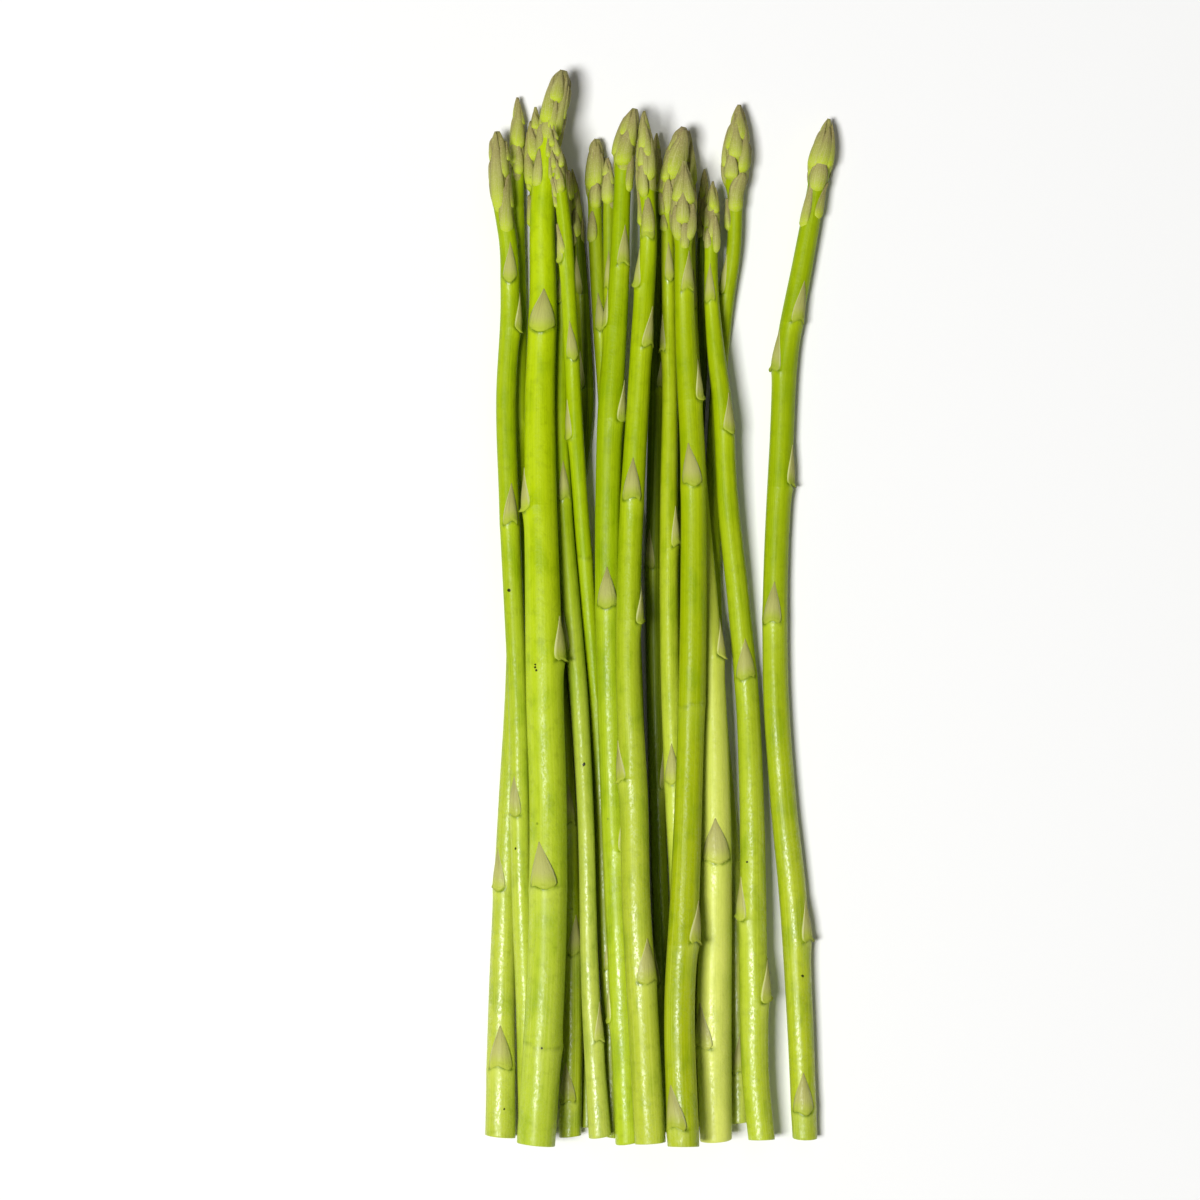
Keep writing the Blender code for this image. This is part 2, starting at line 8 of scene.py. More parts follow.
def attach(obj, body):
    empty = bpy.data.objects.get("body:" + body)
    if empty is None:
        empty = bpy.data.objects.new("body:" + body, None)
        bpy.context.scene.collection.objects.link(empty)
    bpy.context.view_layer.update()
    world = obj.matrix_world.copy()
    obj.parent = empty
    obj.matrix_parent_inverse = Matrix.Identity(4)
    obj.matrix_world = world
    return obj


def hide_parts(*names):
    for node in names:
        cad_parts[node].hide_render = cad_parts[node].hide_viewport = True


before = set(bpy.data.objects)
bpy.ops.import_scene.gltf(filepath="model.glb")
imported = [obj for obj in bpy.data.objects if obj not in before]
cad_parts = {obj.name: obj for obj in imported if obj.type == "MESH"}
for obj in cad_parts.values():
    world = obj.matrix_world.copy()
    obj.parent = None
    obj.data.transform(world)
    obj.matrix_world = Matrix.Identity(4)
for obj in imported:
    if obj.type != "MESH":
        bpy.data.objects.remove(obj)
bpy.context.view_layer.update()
print("frame:", len(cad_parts), "spears")

mm = 0.001


def colour(red, green, blue):
    # A colour as a screen shows it, 0 to 255, turned into the linear one that light needs.
    shown = np.array((red, green, blue)) / 255
    linear = np.where(shown > 0.04045, ((shown + 0.055) / 1.055) ** 2.4, shown / 12.92)
    return (*linear.tolist(), 1)


# How the spears lie, the same as in the part's source.
lying = dict(
    middle=(0.07, 4.76),  # taken off across and along, to bring the bundle to the part's place
    spearGap=0.3, surfaceGap=0.2, slack=1.01,
    bendRadius=330.0, softness=7.0, liftReach=10.0, liftSoftness=5.0, liftRounds=8,
    headRise=38.0,  # length over which a spear on the surface rises to its thicker head
    restShare=math.cos(math.radians(22.5)),  # a stem rests on a flat strip, just under its radius
    sideways=0.3, beside=0.72, margin=2.0,
    order=(1, 7, 8, 12, 14, 16, 18, 20, 3, 17, 2, 9, 13, 19, 5, 6, 4, 10, 11, 15))

# The form that every spear starts from. A head's profile gives its radius along it, as a share of
# half its width.
spearForm = dict(
    pointedHead=[(0.0, 0.80), (0.2, 0.94), (0.42, 1.0), (0.62, 0.88), (0.8, 0.62), (0.92, 0.36),
                 (1.0, 0.14)],
    bluntHead=[(0.0, 0.80), (0.2, 0.94), (0.42, 1.0), (0.62, 0.97), (0.8, 0.86), (0.92, 0.68),
               (1.0, 0.3)],
    headBlend=0.25, core=0.8, coreBlend=0.3,  # shares of a head's length, and of its radius
    leafHalfAngle=46, leafLength=(8.3, 0.36), leafStand=(0.1, 0.14),  # plus that per thickness
    spurStand=0.3, spurFacing=55.0)  # leaves that face sideways stand further off

# Every spear. route: along, across and thickness of its stem. head: length and width. leaves:
# along, facing, and half angle if not the usual one. buds: along, facing, length and stand.
# scales: along and across of a head scale's foot and of its point, its width and bulge. specks:
# along, facing and size. upper, lower: colours near the head and at the cut end; on spears 3, 7,
# 12, 14 and 16, which lie low among the others, both are darkened as painted shade, and on spear 5
# the lower one is, for the narrow gap it lies in. Some have more.
# onSurface: lies on the surface. propped: along, and the height that holds it there. under: another
# spear, and the place along past which it passes over this one. blunt: a rounder head. gloss,
# stain: shares of the shine and of the dark patches.
spears = {
    1: dict(
        route=[(-128, -40, 7.75), (-93.5, -39.5, 7), (-43.5, -37.5, 6), (-18.5, -36.25, 5.5),
               (31.5, -35.5, 5), (81.5, -35.25, 3.75), (106.5, -35.75, 3.5), (133, -35.75, 3.25)],
        onSurface=True, head=(25, 4.5), buds=[(106, -30, 9, 0.8)],
        leaves=[(-110.5, 0, 50), (-66, -50), (51.5, 80), (96, -40)],
        scales=[(119, -36, 133, -35.25, 3.5, 0.4), (125.5, -34, 131.5, -35, 1.75, 0.3),
                (115, -37, 125.5, -36.25, 2, 0.35), (113, -35.25, 121.5, -35.5, 2.5, 0.3)],
        specks=[(-120.9, 14, 0.35)], upper=(152, 176, 6), lower=(186, 200, 60)),
    2: dict(
        route=[(-128.5, -32.75, 5.25), (-93.5, -33.5, 5.25), (-68.5, -34.5, 5.1), (-18.5, -35.5, 5),
               (31.5, -37.75, 5), (56.5, -38.5, 5), (81.5, -37.5, 4.75), (96.5, -38, 4.5),
               (106.5, -39.75, 4.25), (124, -40.75, 3.75)],
        head=(24, 5.4), blunt=True, buds=[(100, 35, 10, 0.8), (101, -85, 9, 0.7)],
        leaves=[(-47, -40), (26, 5), (74, 75), (86.5, 0)],
        scales=[(102.5, -41, 124, -41, 3.5, 0.5), (111.5, -38.5, 124, -39.75, 2.75, 0.35),
                (116, -37.25, 121.5, -38.25, 1.75, 0.3), (97.5, -39, 113.5, -37.25, 3.5, 0.45),
                (103.5, -36.5, 112.5, -37.25, 1.75, 0.2), (106.5, -40.5, 115.5, -41, 1.5, 0.3)],
        specks=[(9.1, -24, 0.5), (-55.4, -29, 0.4)], upper=(158, 182, 4), lower=(186, 202, 60)),
    # upper and lower are darkened as painted shade: this spear lies low among the others.
    3: dict(
        route=[(-128, -22.5, 5.5), (-93.5, -22, 5.25), (-68.5, -22.5, 5), (-43.5, -23.4, 4.5),
               (-18.5, -25, 4.5), (6.5, -27.5, 4.25), (36.5, -29, 4), (56.5, -29.5, 4),
               (84, -30, 3.75), (106.5, -30.75, 3.75), (130.5, -31.25, 3.5)],
        head=(22.5, 4.6), buds=[(103, 10, 8, 0.8)],
        leaves=[(-119, -20, 50), (-82, 20), (-49.5, 10), (92, -30)],
        scales=[(116.5, -32.5, 127, -33, 4, 0.6), (124.5, -30.75, 129.5, -31.5, 2.25, 0.3),
                (110, -34.5, 120.5, -34.75, 3.75, 0.6), (114.5, -36, 124.5, -35.25, 2, 0.35),
                (100, -35, 108.5, -33.25, 3.5, 0.5), (109, -37.25, 115.5, -36.5, 1.75, 0.3)],
        upper=(122, 142, 2), lower=(160, 178, 12)),
    4: dict(
        route=[(-129, -31, 9.5), (-106, -29.5, 9.5), (-81, -28.25, 9.4), (-43.5, -28, 9.25),
               (-18.5, -28.75, 9.25), (6.5, -29.25, 8.75), (31.5, -29.75, 8), (56.5, -30, 7.5),
               (81.5, -29.25, 6.75), (106.5, -29.25, 6), (124, -27.25, 5.75), (139, -24, 4.75)],
        under=(5, 60), head=(24, 6.9), blunt=True, buds=[(109.5, -68, 9, 0.7)],
        leaves=[(-103.5, 150), (-65, -15, 45), (-8.5, 80), (29, -85), (74, -5, 66)],
        scales=[(130, -25.75, 139, -24.75, 3.5, 0.7), (124.5, -28.25, 137.5, -27.25, 4.25, 0.5),
                (121, -24.75, 138, -23.25, 2.25, 0.3), (126, -23.5, 135.5, -22.75, 1.5, 0.3),
                (109, -31.25, 119, -30.5, 3.5, 0.7), (123.5, -26.75, 131.5, -26, 2, 0.2)],
        specks=[(-9.2, -28, 0.34), (-9.9, -29, 0.38), (-10.6, -25, 0.36), (-104.4, 0, 0.3)],
        gloss=0.7, upper=(180, 204, 2), lower=(180, 200, 50)),
    5: dict(
        route=[(-128, -12, 4.25), (-101, -12.4, 4), (-68.5, -14, 3.9), (-43.5, -14.75, 3.9),
               (-18.5, -16, 3.9), (6.5, -18, 3.9), (31.5, -19.9, 3.9), (56.5, -21.5, 3.9),
               (81.5, -22.75, 3.75), (99, -23.75, 3.5), (116.5, -26, 3.25), (123.5, -27, 3)],
        propped=(116, 16.4), head=(19, 4.4), buds=[(99.5, 75, 7, 0.8)],
        leaves=[(-86, 20), (-18.5, 60), (16.5, 160), (47.5, -75), (67, 10), (91, -75)],
        scales=[(119, -27, 124.5, -27.25, 1.5, 0.5), (116.5, -25.5, 122.5, -26.25, 1.5, 0.5),
                (116.5, -28.25, 122.5, -28, 1.5, 0.5), (113.5, -24.75, 119.5, -24.75, 1.75, 0.6),
                (113.5, -26.5, 118.5, -27, 1.5, 0.5), (111, -27.75, 116.5, -27.5, 1.25, 0.4),
                (110.5, -25.5, 116, -25.75, 1.5, 0.5), (107.5, -24.75, 114, -25, 2, 0.5),
                (106.5, -26.5, 112, -27, 1.25, 0.4), (104, -26.25, 109, -27, 1.5, 0.5),
                (120.5, -25.75, 124.5, -26.25, 1.25, 0.4), (121, -27.5, 125, -27.25, 1.25, 0.4),
                (92, -24.75, 100.5, -26, 2.25, 0.4)],
        # lower is darker than upper as painted shade of the narrow gap that the lower part lies in.
        upper=(160, 186, 0), lower=(136, 154, 0)),
    6: dict(
        route=[(-127.5, -15, 5.75), (-93.5, -17.25, 4.75), (-43.5, -18.75, 4.25),
               (-18.5, -20.2, 4.6), (6.5, -22.25, 4.5), (31.5, -24.1, 4), (56.5, -24.7, 3.75),
               (94, -24, 3.5), (118.5, -24.25, 3)],
        under=(5, 25), head=(22, 4), buds=[(92, 70, 7, 0.7)],
        leaves=[(-103.5, 50), (-5.5, -80), (32, 10), (81.5, -20)],
        scales=[(106.5, -21.25, 114.5, -22, 2.25, 0.3), (105, -23.25, 109, -23.25, 1.5, 0.3),
                (100, -22.75, 106, -22.75, 1.75, 0.4)],
        specks=[(-34.6, 5, 0.5)], upper=(150, 174, 4), lower=(190, 202, 80)),
    # upper and lower are darkened as painted shade: this spear lies low among the others.
    7: dict(
        route=[(-126, -18, 3.5), (-93.5, -18, 3.5), (-68.5, -18.3, 3.6), (-43.5, -18.9, 3.75),
               (-18.5, -20.3, 3.75), (6.5, -22.05, 3.6), (31.5, -20.5, 3.5), (56.5, -18.3, 3.5),
               (74, -19, 3.4), (94, -20.25, 3.25), (115, -22, 3)],
        onSurface=True, head=(21.5, 3.6),
        leaves=[(-90, -60), (-30, -50), (25, 20), (60, -60), (84, -40)],
        upper=(78, 96, 2), lower=(124, 142, 12)),
    8: dict(
        route=[(-127.5, -7.5, 4.5), (-93.5, -8.5, 4.5), (-43.5, -9.9, 4.4), (-18.5, -10.75, 4.25),
               (6.5, -12, 4.25), (56.5, -13.5, 4), (81.5, -15.25, 3.75), (106.5, -16.25, 3.5),
               (122.5, -15.75, 3)],
        onSurface=True, head=(18, 5), blunt=True, buds=[(94, -70, 8, 0.7)],
        leaves=[(-68.5, 30), (-3.5, -60), (41.5, 75), (74.5, 10)],
        scales=[(109, -17.75, 122.5, -16.5, 4.25, 0.5), (110, -15.5, 121.5, -15.5, 3, 0.4),
                (104.5, -16, 112, -16, 3, 0.6), (96, -17.75, 104.5, -17, 3, 0.6),
                (112.5, -14, 119, -14.5, 1.75, 0.3)],
        upper=(156, 176, 16), lower=(186, 200, 60)),
    9: dict(
        route=[(-126.5, -2.75, 3.75), (-93.5, -3.8, 3.9), (-43.5, -5.2, 3.9), (-18.5, -6, 3.75),
               (6.5, -7, 3.75), (31.5, -8.4, 3.6), (56.5, -10.4, 3.5), (81.5, -12.25, 3.25),
               (106.5, -12.75, 3), (117.5, -13, 2.75)],
        head=(15, 3.6),
        leaves=[(-70, 40), (-10, -60), (40, 70), (85, -20)],
        scales=[(105.5, -13.25, 115.5, -13.25, 3.75, 0.5), (112.5, -13.75, 117.5, -13.5, 2.25, 0.3),
                (110, -12, 116.5, -12.5, 1.75, 0.3)],
        upper=(146, 166, 16), lower=(176, 194, 54)),
    10: dict(
        route=[(-129, -8, 6.25), (-93.5, -9.5, 6.25), (-43.5, -11.75, 6.1), (-18.5, -12.5, 6.25),
               (31.5, -13, 6.25), (56.5, -12.25, 6.25), (81.5, -10.5, 5.25), (106.5, -9.5, 4.25),
               (119, -8.75, 4), (129.5, -6.25, 3.5)],
        head=(20, 5.6), blunt=True, buds=[(108, 45, 7.5, 1.0), (112.5, -80, 7, 0.9)],
        leaves=[(-98.5, -110), (-56, 60), (5, -5, 50), (51.5, 75), (74, -100), (90.5, 30)],
        scales=[(114.5, -9.5, 125, -7.5, 4.5, 0.7), (116.5, -11.75, 127, -9.5, 3.5, 0.6),
                (119, -6.75, 129.5, -6.5, 3, 0.4), (121.5, -9.75, 129, -7.5, 3, 0.3),
                (108, -7.25, 118.5, -6.75, 2.5, 1)],
        upper=(150, 176, 0), lower=(180, 202, 36)),
    11: dict(
        route=[(-128.5, -2.5, 7.75), (-93.5, -4.5, 7.5), (-68.5, -6, 7.1), (-43.5, -6.5, 7),
               (-6, -8, 6.1), (19, -7.5, 6), (56.5, -5.5, 5.5), (81.5, -4, 5), (94, -3, 4.25),
               (111.5, -3.5, 4), (128.5, -4, 3.5)],
        head=(25, 5.3), buds=[(102, 75, 8, 0.7)],
        leaves=[(-88, 35, 50), (-38.5, -75), (1, 80), (32, -5, 50), (70, 45), (84.5, -75),
                (97, 0, 50)],
        scales=[(118, -4.25, 128.5, -4.25, 2.5, 0.3), (116, -3, 125.5, -3.5, 2.25, 0.35),
                (114, -5, 120.5, -4.75, 2, 0.4), (111.5, -3.75, 119, -3.75, 2.25, 0.3),
                (110.5, -2.25, 122, -2, 2.75, 0.5), (106.5, -4.5, 116, -4.75, 2.75, 0.6),
                (97, -3, 107, -3, 3.25, 0.6), (99.5, -5.75, 109, -5.75, 1.75, 0.3)],
        upper=(160, 184, 0), lower=(186, 200, 56)),
    # upper and lower are darkened as painted shade: this spear lies low among the others.
    12: dict(
        route=[(-127, 1.75, 4.5), (-93.5, 1, 4.4), (-43.5, -0.5, 4.25), (6.5, -1.5, 4.25),
               (56.5, -1, 4), (106.5, -1.25, 3.75), (124, -0.75, 3)],
        onSurface=True, head=(21.5, 3.9),
        leaves=[(-90, -60), (-41, 60), (15, -40), (60, 50), (92, -60)],
        scales=[(110, -1, 124, -1, 2, 0.3)],
        upper=(84, 102, 8), lower=(124, 144, 10)),
    13: dict(
        route=[(-127.5, 6.2, 5), (-93.5, 5.2, 5), (-68.5, 5, 5), (-43.5, 3.75, 5), (-6, 2.5, 5),
               (31.5, 2.25, 4.5), (56.5, 2.5, 4), (81.5, 2.25, 3.5), (99, 2, 3.25),
               (111.5, 2.75, 3.25), (125, 6, 3)],
        head=(22, 6), blunt=True, buds=[(98, -60, 6, 0.9), (103, -85, 8, 1.0)],
        leaves=[(-83.5, 0), (-39, -10), (20.5, 60), (69, -75), (87, 20)],
        scales=[(111.5, 3.75, 124.5, 6, 5, 0.6), (110.5, 1, 119, 2.25, 3, 0.6),
                (114.5, 7, 124.5, 6.5, 3.25, 0.3), (108, -0.75, 112.5, 0.25, 2, 0.5),
                (102.5, -0.75, 108.5, -0.25, 2.25, 0.6), (98.5, 0.75, 104.5, 0.25, 2.5, 0.6),
                (102.5, 2, 112, 2, 2.25, 0.3)],
        upper=(168, 186, 16), lower=(204, 218, 78)),
    # upper and lower are darkened as painted shade: this spear lies low among the others.
    14: dict(
        route=[(-126, 6.1, 3.75), (-93.5, 5.5, 3.75), (-68.5, 5, 3.6), (-43.5, 4.6, 3.6),
               (-6, 4.2, 3.5), (19, 4.2, 3.5), (56.5, 4.75, 3.25), (84, 5.75, 2.75)],
        onSurface=True, head=(15, 3.1),
        leaves=[(-80, 30), (-25, -40), (20, 15), (50, -30)],
        upper=(92, 110, 4), lower=(140, 158, 24)),
    15: dict(
        route=[(-129, 5.75, 7.75), (-93.5, 4.75, 7.5), (-68.5, 6, 7.25), (-43.5, 7, 6.75),
               (6.5, 8.25, 6.5), (44, 8, 6), (69, 6.5, 5.25), (94, 5.75, 4.25), (116, 6, 3.75)],
        head=(22, 7), buds=[(94, -25, 8, 0.8)],
        leaves=[(-124, -30), (-78.5, 70), (-19, 170), (35.5, -5, 50), (56.5, 80), (84, 30, 50)],
        scales=[(105, 3.75, 115.5, 5.75, 3.25, 0.5), (104.5, 7.5, 115, 6.25, 3.25, 0.4),
                (105.5, 5.5, 113, 5.5, 2.25, 0.2), (99.5, 5.5, 108.5, 5.5, 3.5, 0.8),
                (95.5, 8, 105.5, 8.5, 3, 0.8), (95.5, 3.75, 105, 3.5, 3, 0.5),
                (93.5, 6.25, 101, 6, 2.25, 0.3)],
        gloss=0.8, upper=(158, 180, 0), lower=(168, 184, 6)),
    # upper and lower are darkened as painted shade: this spear lies low among the others.
    16: dict(
        route=[(-125.5, 10, 3.75), (-93.5, 9.6, 3.75), (-43.5, 9.1, 3.75), (6.5, 8.6, 3.75),
               (31.5, 9, 3.75), (56.5, 9.75, 3.6), (81.5, 10.75, 3.5), (115, 11.25, 3)],
        onSurface=True, head=(21, 3.6),
        leaves=[(-85, 30), (-30, 60), (20, 40), (60, -30), (88, 60)],
        upper=(70, 88, 2), lower=(120, 138, 10)),
    17: dict(
        route=[(-128.5, 14, 8), (-99.5, 13.5, 8.75), (-68.5, 14, 8), (-43.5, 14, 7.25),
               (-18.5, 13.5, 6.1), (6.5, 12, 5), (31.5, 10, 4.5), (56.5, 8.5, 4.25),
               (81.5, 7.25, 4), (124.5, 7.25, 3.25)],
        head=(23, 4.2), buds=[(99, 60, 8, 0.7)],
        leaves=[(-105, -50), (-58.5, 0, 60), (-8, 75, 50), (41.5, -100), (80, 30)],
        scales=[(110, 9, 124, 7.75, 2.5, 0.3)],
        gloss=0.7, stain=0.35, upper=(184, 198, 56), lower=(220, 227, 106)),
    18: dict(
        route=[(-125, 20, 4.5), (-93.5, 19.5, 4.5), (-68.5, 18.75, 4.5), (-43.5, 16.75, 4.5),
               (-18.5, 14.5, 4.4), (6.5, 13.5, 4.25), (31.5, 13.5, 4.1), (56.5, 14.5, 4),
               (81.5, 16.75, 3.9), (94, 18.5, 3.75), (111.5, 19, 3.75), (131, 20, 3.5)],
        onSurface=True, head=(24, 7.5), buds=[(99, -75, 8, 0.7), (103.5, 25, 9.5, 1.0)],
        leaves=[(-112, 0), (55, 60), (84, -70)],
        scales=[(121, 20.25, 131, 20, 3.75, 0.3), (118.5, 17.5, 128.5, 18.5, 3.25, 0.4),
                (114, 16, 124.5, 16.5, 2.25, 0.6), (116.5, 19, 127, 19.25, 3.5, 0.8),
                (113, 21.25, 125.5, 21.75, 3.25, 0.8), (111.5, 17.5, 119, 17.75, 3.75, 0.7),
                (103.5, 19, 114, 21, 3.75, 0.9), (99, 16, 107.5, 16, 2.25, 0.4)],
        upper=(156, 176, 10), lower=(190, 200, 80)),
    19: dict(
        route=[(-128.5, 25.5, 6.75), (-113.5, 24, 7), (-93.5, 23.5, 7.25), (-43.5, 23, 6.25),
               (-18.5, 22, 6), (6.5, 19.75, 5.75), (31.5, 17, 5.5), (56.5, 15.5, 5), (69, 14, 4.5),
               (81.5, 13, 3.75), (111.5, 13.25, 3)],
        head=(20.5, 4.4), buds=[(92, 75, 8, 0.8)],
        leaves=[(-93.5, 70), (-73, -75), (-13, 0, 50), (48.5, 40), (81.5, -20)],
        scales=[(104, 13.75, 111.5, 13, 2.25, 0.3), (103, 14.25, 110, 14.25, 1.75, 0.3),
                (93, 14.75, 103, 14, 2.5, 0.7)],
        specks=[(-58.9, -26, 0.35)], upper=(160, 182, 2), lower=(184, 202, 46)),
    20: dict(
        route=[(-128.5, 36.5, 6.25), (-93.5, 35, 6.75), (-68.5, 33.5, 7), (-43.5, 31, 6.6),
               (-18.5, 29.25, 6.5), (6.5, 29, 6.25), (44, 30.5, 6.1), (69, 32, 5.9),
               (91.5, 36, 5.25), (106.5, 38.75, 4.75), (127.5, 42.5, 3.75)],
        onSurface=True, head=(19, 6.6), buds=[(99.5, -80, 10.5, 1.0), (103, 75, 8, 1.0)],
        leaves=[(-122, -5, 50), (-79, 70), (1, -20), (35.5, 80), (64, -70), (77, 40)],
        scales=[(113.5, 38, 127, 41.5, 3.75, 0.7), (114.5, 40.5, 125.5, 42.5, 4.25, 0.5),
                (114.5, 43, 127, 43.5, 2.5, 0.5), (108.5, 39.5, 118, 40.5, 4, 0.6),
                (99, 35.75, 111.5, 37.75, 3.25, 0.6), (102, 40.5, 112, 42.25, 3.25, 0.6)],
        specks=[(-87.6, 18, 0.4)], upper=(150, 174, 4), lower=(180, 196, 32)),
}


def curveThrough(rows, column, at):
    # Cubic through the rows' points: between two of them t runs from 0 to 1, and the value is the
    # blend of both ends' values and slopes by Hermite's four cubics.
    rows = np.asarray(rows, float)
    along, value = rows[:, 0], rows[:, column]
    steps = np.diff(along)
    slopes = np.diff(value) / steps
    inner = (slopes[:-1] * steps[1:] + slopes[1:] * steps[:-1]) / (steps[1:] + steps[:-1])
    tangents = np.concatenate([slopes[:1], inner, slopes[-1:]])
    k = np.clip(np.searchsorted(along, at) - 1, 0, len(steps) - 1)
    t = np.clip((at - along[k]) / steps[k], 0.0, 1.0)
    start = (2 * t**3 - 3 * t**2 + 1) * value[k] + (t**3 - 2 * t**2 + t) * steps[k] * tangents[k]
    end = (3 * t**2 - 2 * t**3) * value[k + 1] + (t**3 - t**2) * steps[k] * tangents[k + 1]
    return start + end


def smoothStep(value):
    # 3 t squared less 2 t cubed, with t held between 0 and 1.
    t = np.clip(value, 0.0, 1.0)
    return t * t * (3 - 2 * t)


def unit(vectors):
    # Each vector over its own length.
    return vectors / np.linalg.norm(vectors, axis=-1, keepdims=True)


def awayFrom(facing, middle):
    # Degrees from one facing to another by the shorter way round, -180 to 180.
    return (facing - middle + 180) % 360 - 180


grid = np.arange(min(s["route"][0][0] for s in spears.values()) - 1.0,
                 max(s["route"][-1][0] for s in spears.values()) + 2.0, 1.0)


class Spear:
    # The measures of one spear at any places along it.
    def __init__(self, number, values):
        self.number, self.values = number, values
        self.name = f"spear_{number:02d}"
        self.route = values["route"]
        self.headLength, self.headWidth = values["head"]
        self.butt, self.tip = self.route[0][0], self.route[-1][0]
        self.headBase = self.tip - self.headLength
        self.bracts = []
        for along, facing, *given in values["leaves"]:
            halfAngle = given[0] if given else spearForm["leafHalfAngle"]
            radius = float(self.stem(along))
            length = spearForm["leafLength"][0] + spearForm["leafLength"][1] * 2 * radius
            stand = spearForm["leafStand"][0] + spearForm["leafStand"][1] * radius
            if abs(facing) > spearForm["spurFacing"]:
                stand += spearForm["spurStand"]
            self.bracts.append((along, facing, length, stand, halfAngle))
        self.buds = values.get("buds", [])
        self.heights = None  # laySpears works them out

    def across(self, along):
        return curveThrough(self.route, 1, along)

    def stem(self, along):
        return curveThrough(self.route, 2, along) / 2

    def outer(self, along):
        # The stem's radius, which blends past the head's base into the head's own profile.
        share = (along - self.headBase) / self.headLength
        profile = spearForm["bluntHead" if self.values.get("blunt") else "pointedHead"]
        head = self.headWidth / 2 * curveThrough(profile, 1, share)
        blend = smoothStep(share / spearForm["headBlend"])
        stem = self.stem(along)
        return np.where(share > 0, stem * (1 - blend) + head * blend, stem)

    def core(self, along):
        # The outer radius, which falls to a share of itself inside the head's scales.
        share = (along - self.headBase) / self.headLength
        fall = (1 - spearForm["core"]) * smoothStep(share / spearForm["coreBlend"])
        return self.outer(along) * (1 - fall)

    def reach(self, along, side=None):
        # The outer radius with the leaves on it, or only those that lean to one side, -1 or 1.
        reach = self.outer(along)
        leaves = [leaf[:4] for leaf in self.bracts] + self.buds
        for start, facing, length, stand in leaves:
            near = (along > start - lying["margin"]) & (along < start + length + lying["margin"])
            if side:
                near &= math.sin(math.radians(facing)) * side > lying["sideways"]
            reach = np.where(near, np.maximum(reach, self.outer(along) + stand), reach)
        return reach

    def height(self, along):
        return np.interp(along, grid, self.heights)

    def place(self, along):
        return np.stack([self.across(along), along, self.height(along)], -1)

    def point(self, along, facing, radius):
        # The stem's middle plus radius times the direction that faces that way: up by the cosine,
        # to the side by the sine. Past the tip it goes on straight.
        along, facing, radius = np.broadcast_arrays(along, facing, radius)
        inside = np.clip(along, self.butt, self.tip)
        before, after = np.maximum(inside - 1, self.butt), np.minimum(inside + 1, self.tip)
        run = unit(self.place(after) - self.place(before))
        up = unit(np.array((0.0, 0.0, 1.0)) - run * run[..., 2:])
        side = np.cross(run, up)
        turn = np.radians(facing)[..., None]
        middle = self.place(inside) + run * (along - inside)[..., None]
        return middle + (up * np.cos(turn) + side * np.sin(turn)) * radius[..., None]

    def sag(self, start, away, halfAngle):
        # How far the line of a bract's base wanders along the stem, over its width: half of a sine,
        # and a fifth of the fourth power, up or down at both corners.
        share = np.clip(away / halfAngle, -1.3, 1.3)
        return 0.5 * np.sin(3.2 * share + start) + 0.2 * share**4 * np.sign(np.sin(7 * start))

    def skin(self, along, facing):
        # The core's radius, slightly oval and ribbed by cosines, plus a ledge on each bract's side
        # that rises exponentially to the bract's base and drops off just past it, more slowly
        # outside the bract's width.
        turn = np.radians(facing)
        wave = stemForm["oval"] * np.cos(2 * turn + self.number)
        ribs = stemForm["ribs"] * turn + 0.02 * along + self.number
        wave = wave + stemForm["rib"] * np.cos(ribs)
        inHead = smoothStep((along - self.headBase) / 6)
        radius = self.core(along) * (1 + wave * (1 - inHead))
        for start, leafFacing, length, stand, halfAngle in self.bracts:
            away = awayFrom(facing, leafFacing)
            outside = smoothStep((abs(away) - halfAngle + 10) / 30)
            towards = (0.5 + 0.5 * np.cos(turn - math.radians(leafFacing))) ** 2
            past = along - start - self.sag(start, away, halfAngle)
            rise = np.exp(np.minimum(past, 0) / stemForm["ledgeRise"])
            drop = np.exp(-np.maximum(past, 0) / (stemForm["ledgeDrop"] + 4 * outside))
            radius = radius + stemForm["ledge"] * towards * stand * rise * drop
        return radius


def blurred(values, width):
    # Mean over the neighbours with bell-shaped weights; both ends go on mirrored through
    # themselves.
    count = int(3 * width)
    weights = np.exp(-0.5 * (np.arange(-count, count + 1) / width) ** 2)
    first = 2 * values[0] - values[count:0:-1]
    last = 2 * values[-1] - values[-2:-count - 2:-1]
    return np.convolve(np.concatenate([first, values, last]), weights / weights.sum(), "valid")


def draped(low, along):
    # Upper edge of the parabolas that hang from every low point, smoothed, then lifted where it
    # falls short.
    apart = along[:, None] - along[None, :]
    height = (low[None, :] - apart**2 / (2 * lying["bendRadius"])).max(axis=1)
    height = blurred(height, lying["softness"])
    for _ in range(lying["liftRounds"]):
        short = np.maximum(low - height, 0)
        spread = np.where(abs(apart) < lying["liftReach"], short[None, :], 0).max(axis=1)
        height += blurred(spread, lying["liftSoftness"])
    return height + max(0.0, float((low - height).max()))


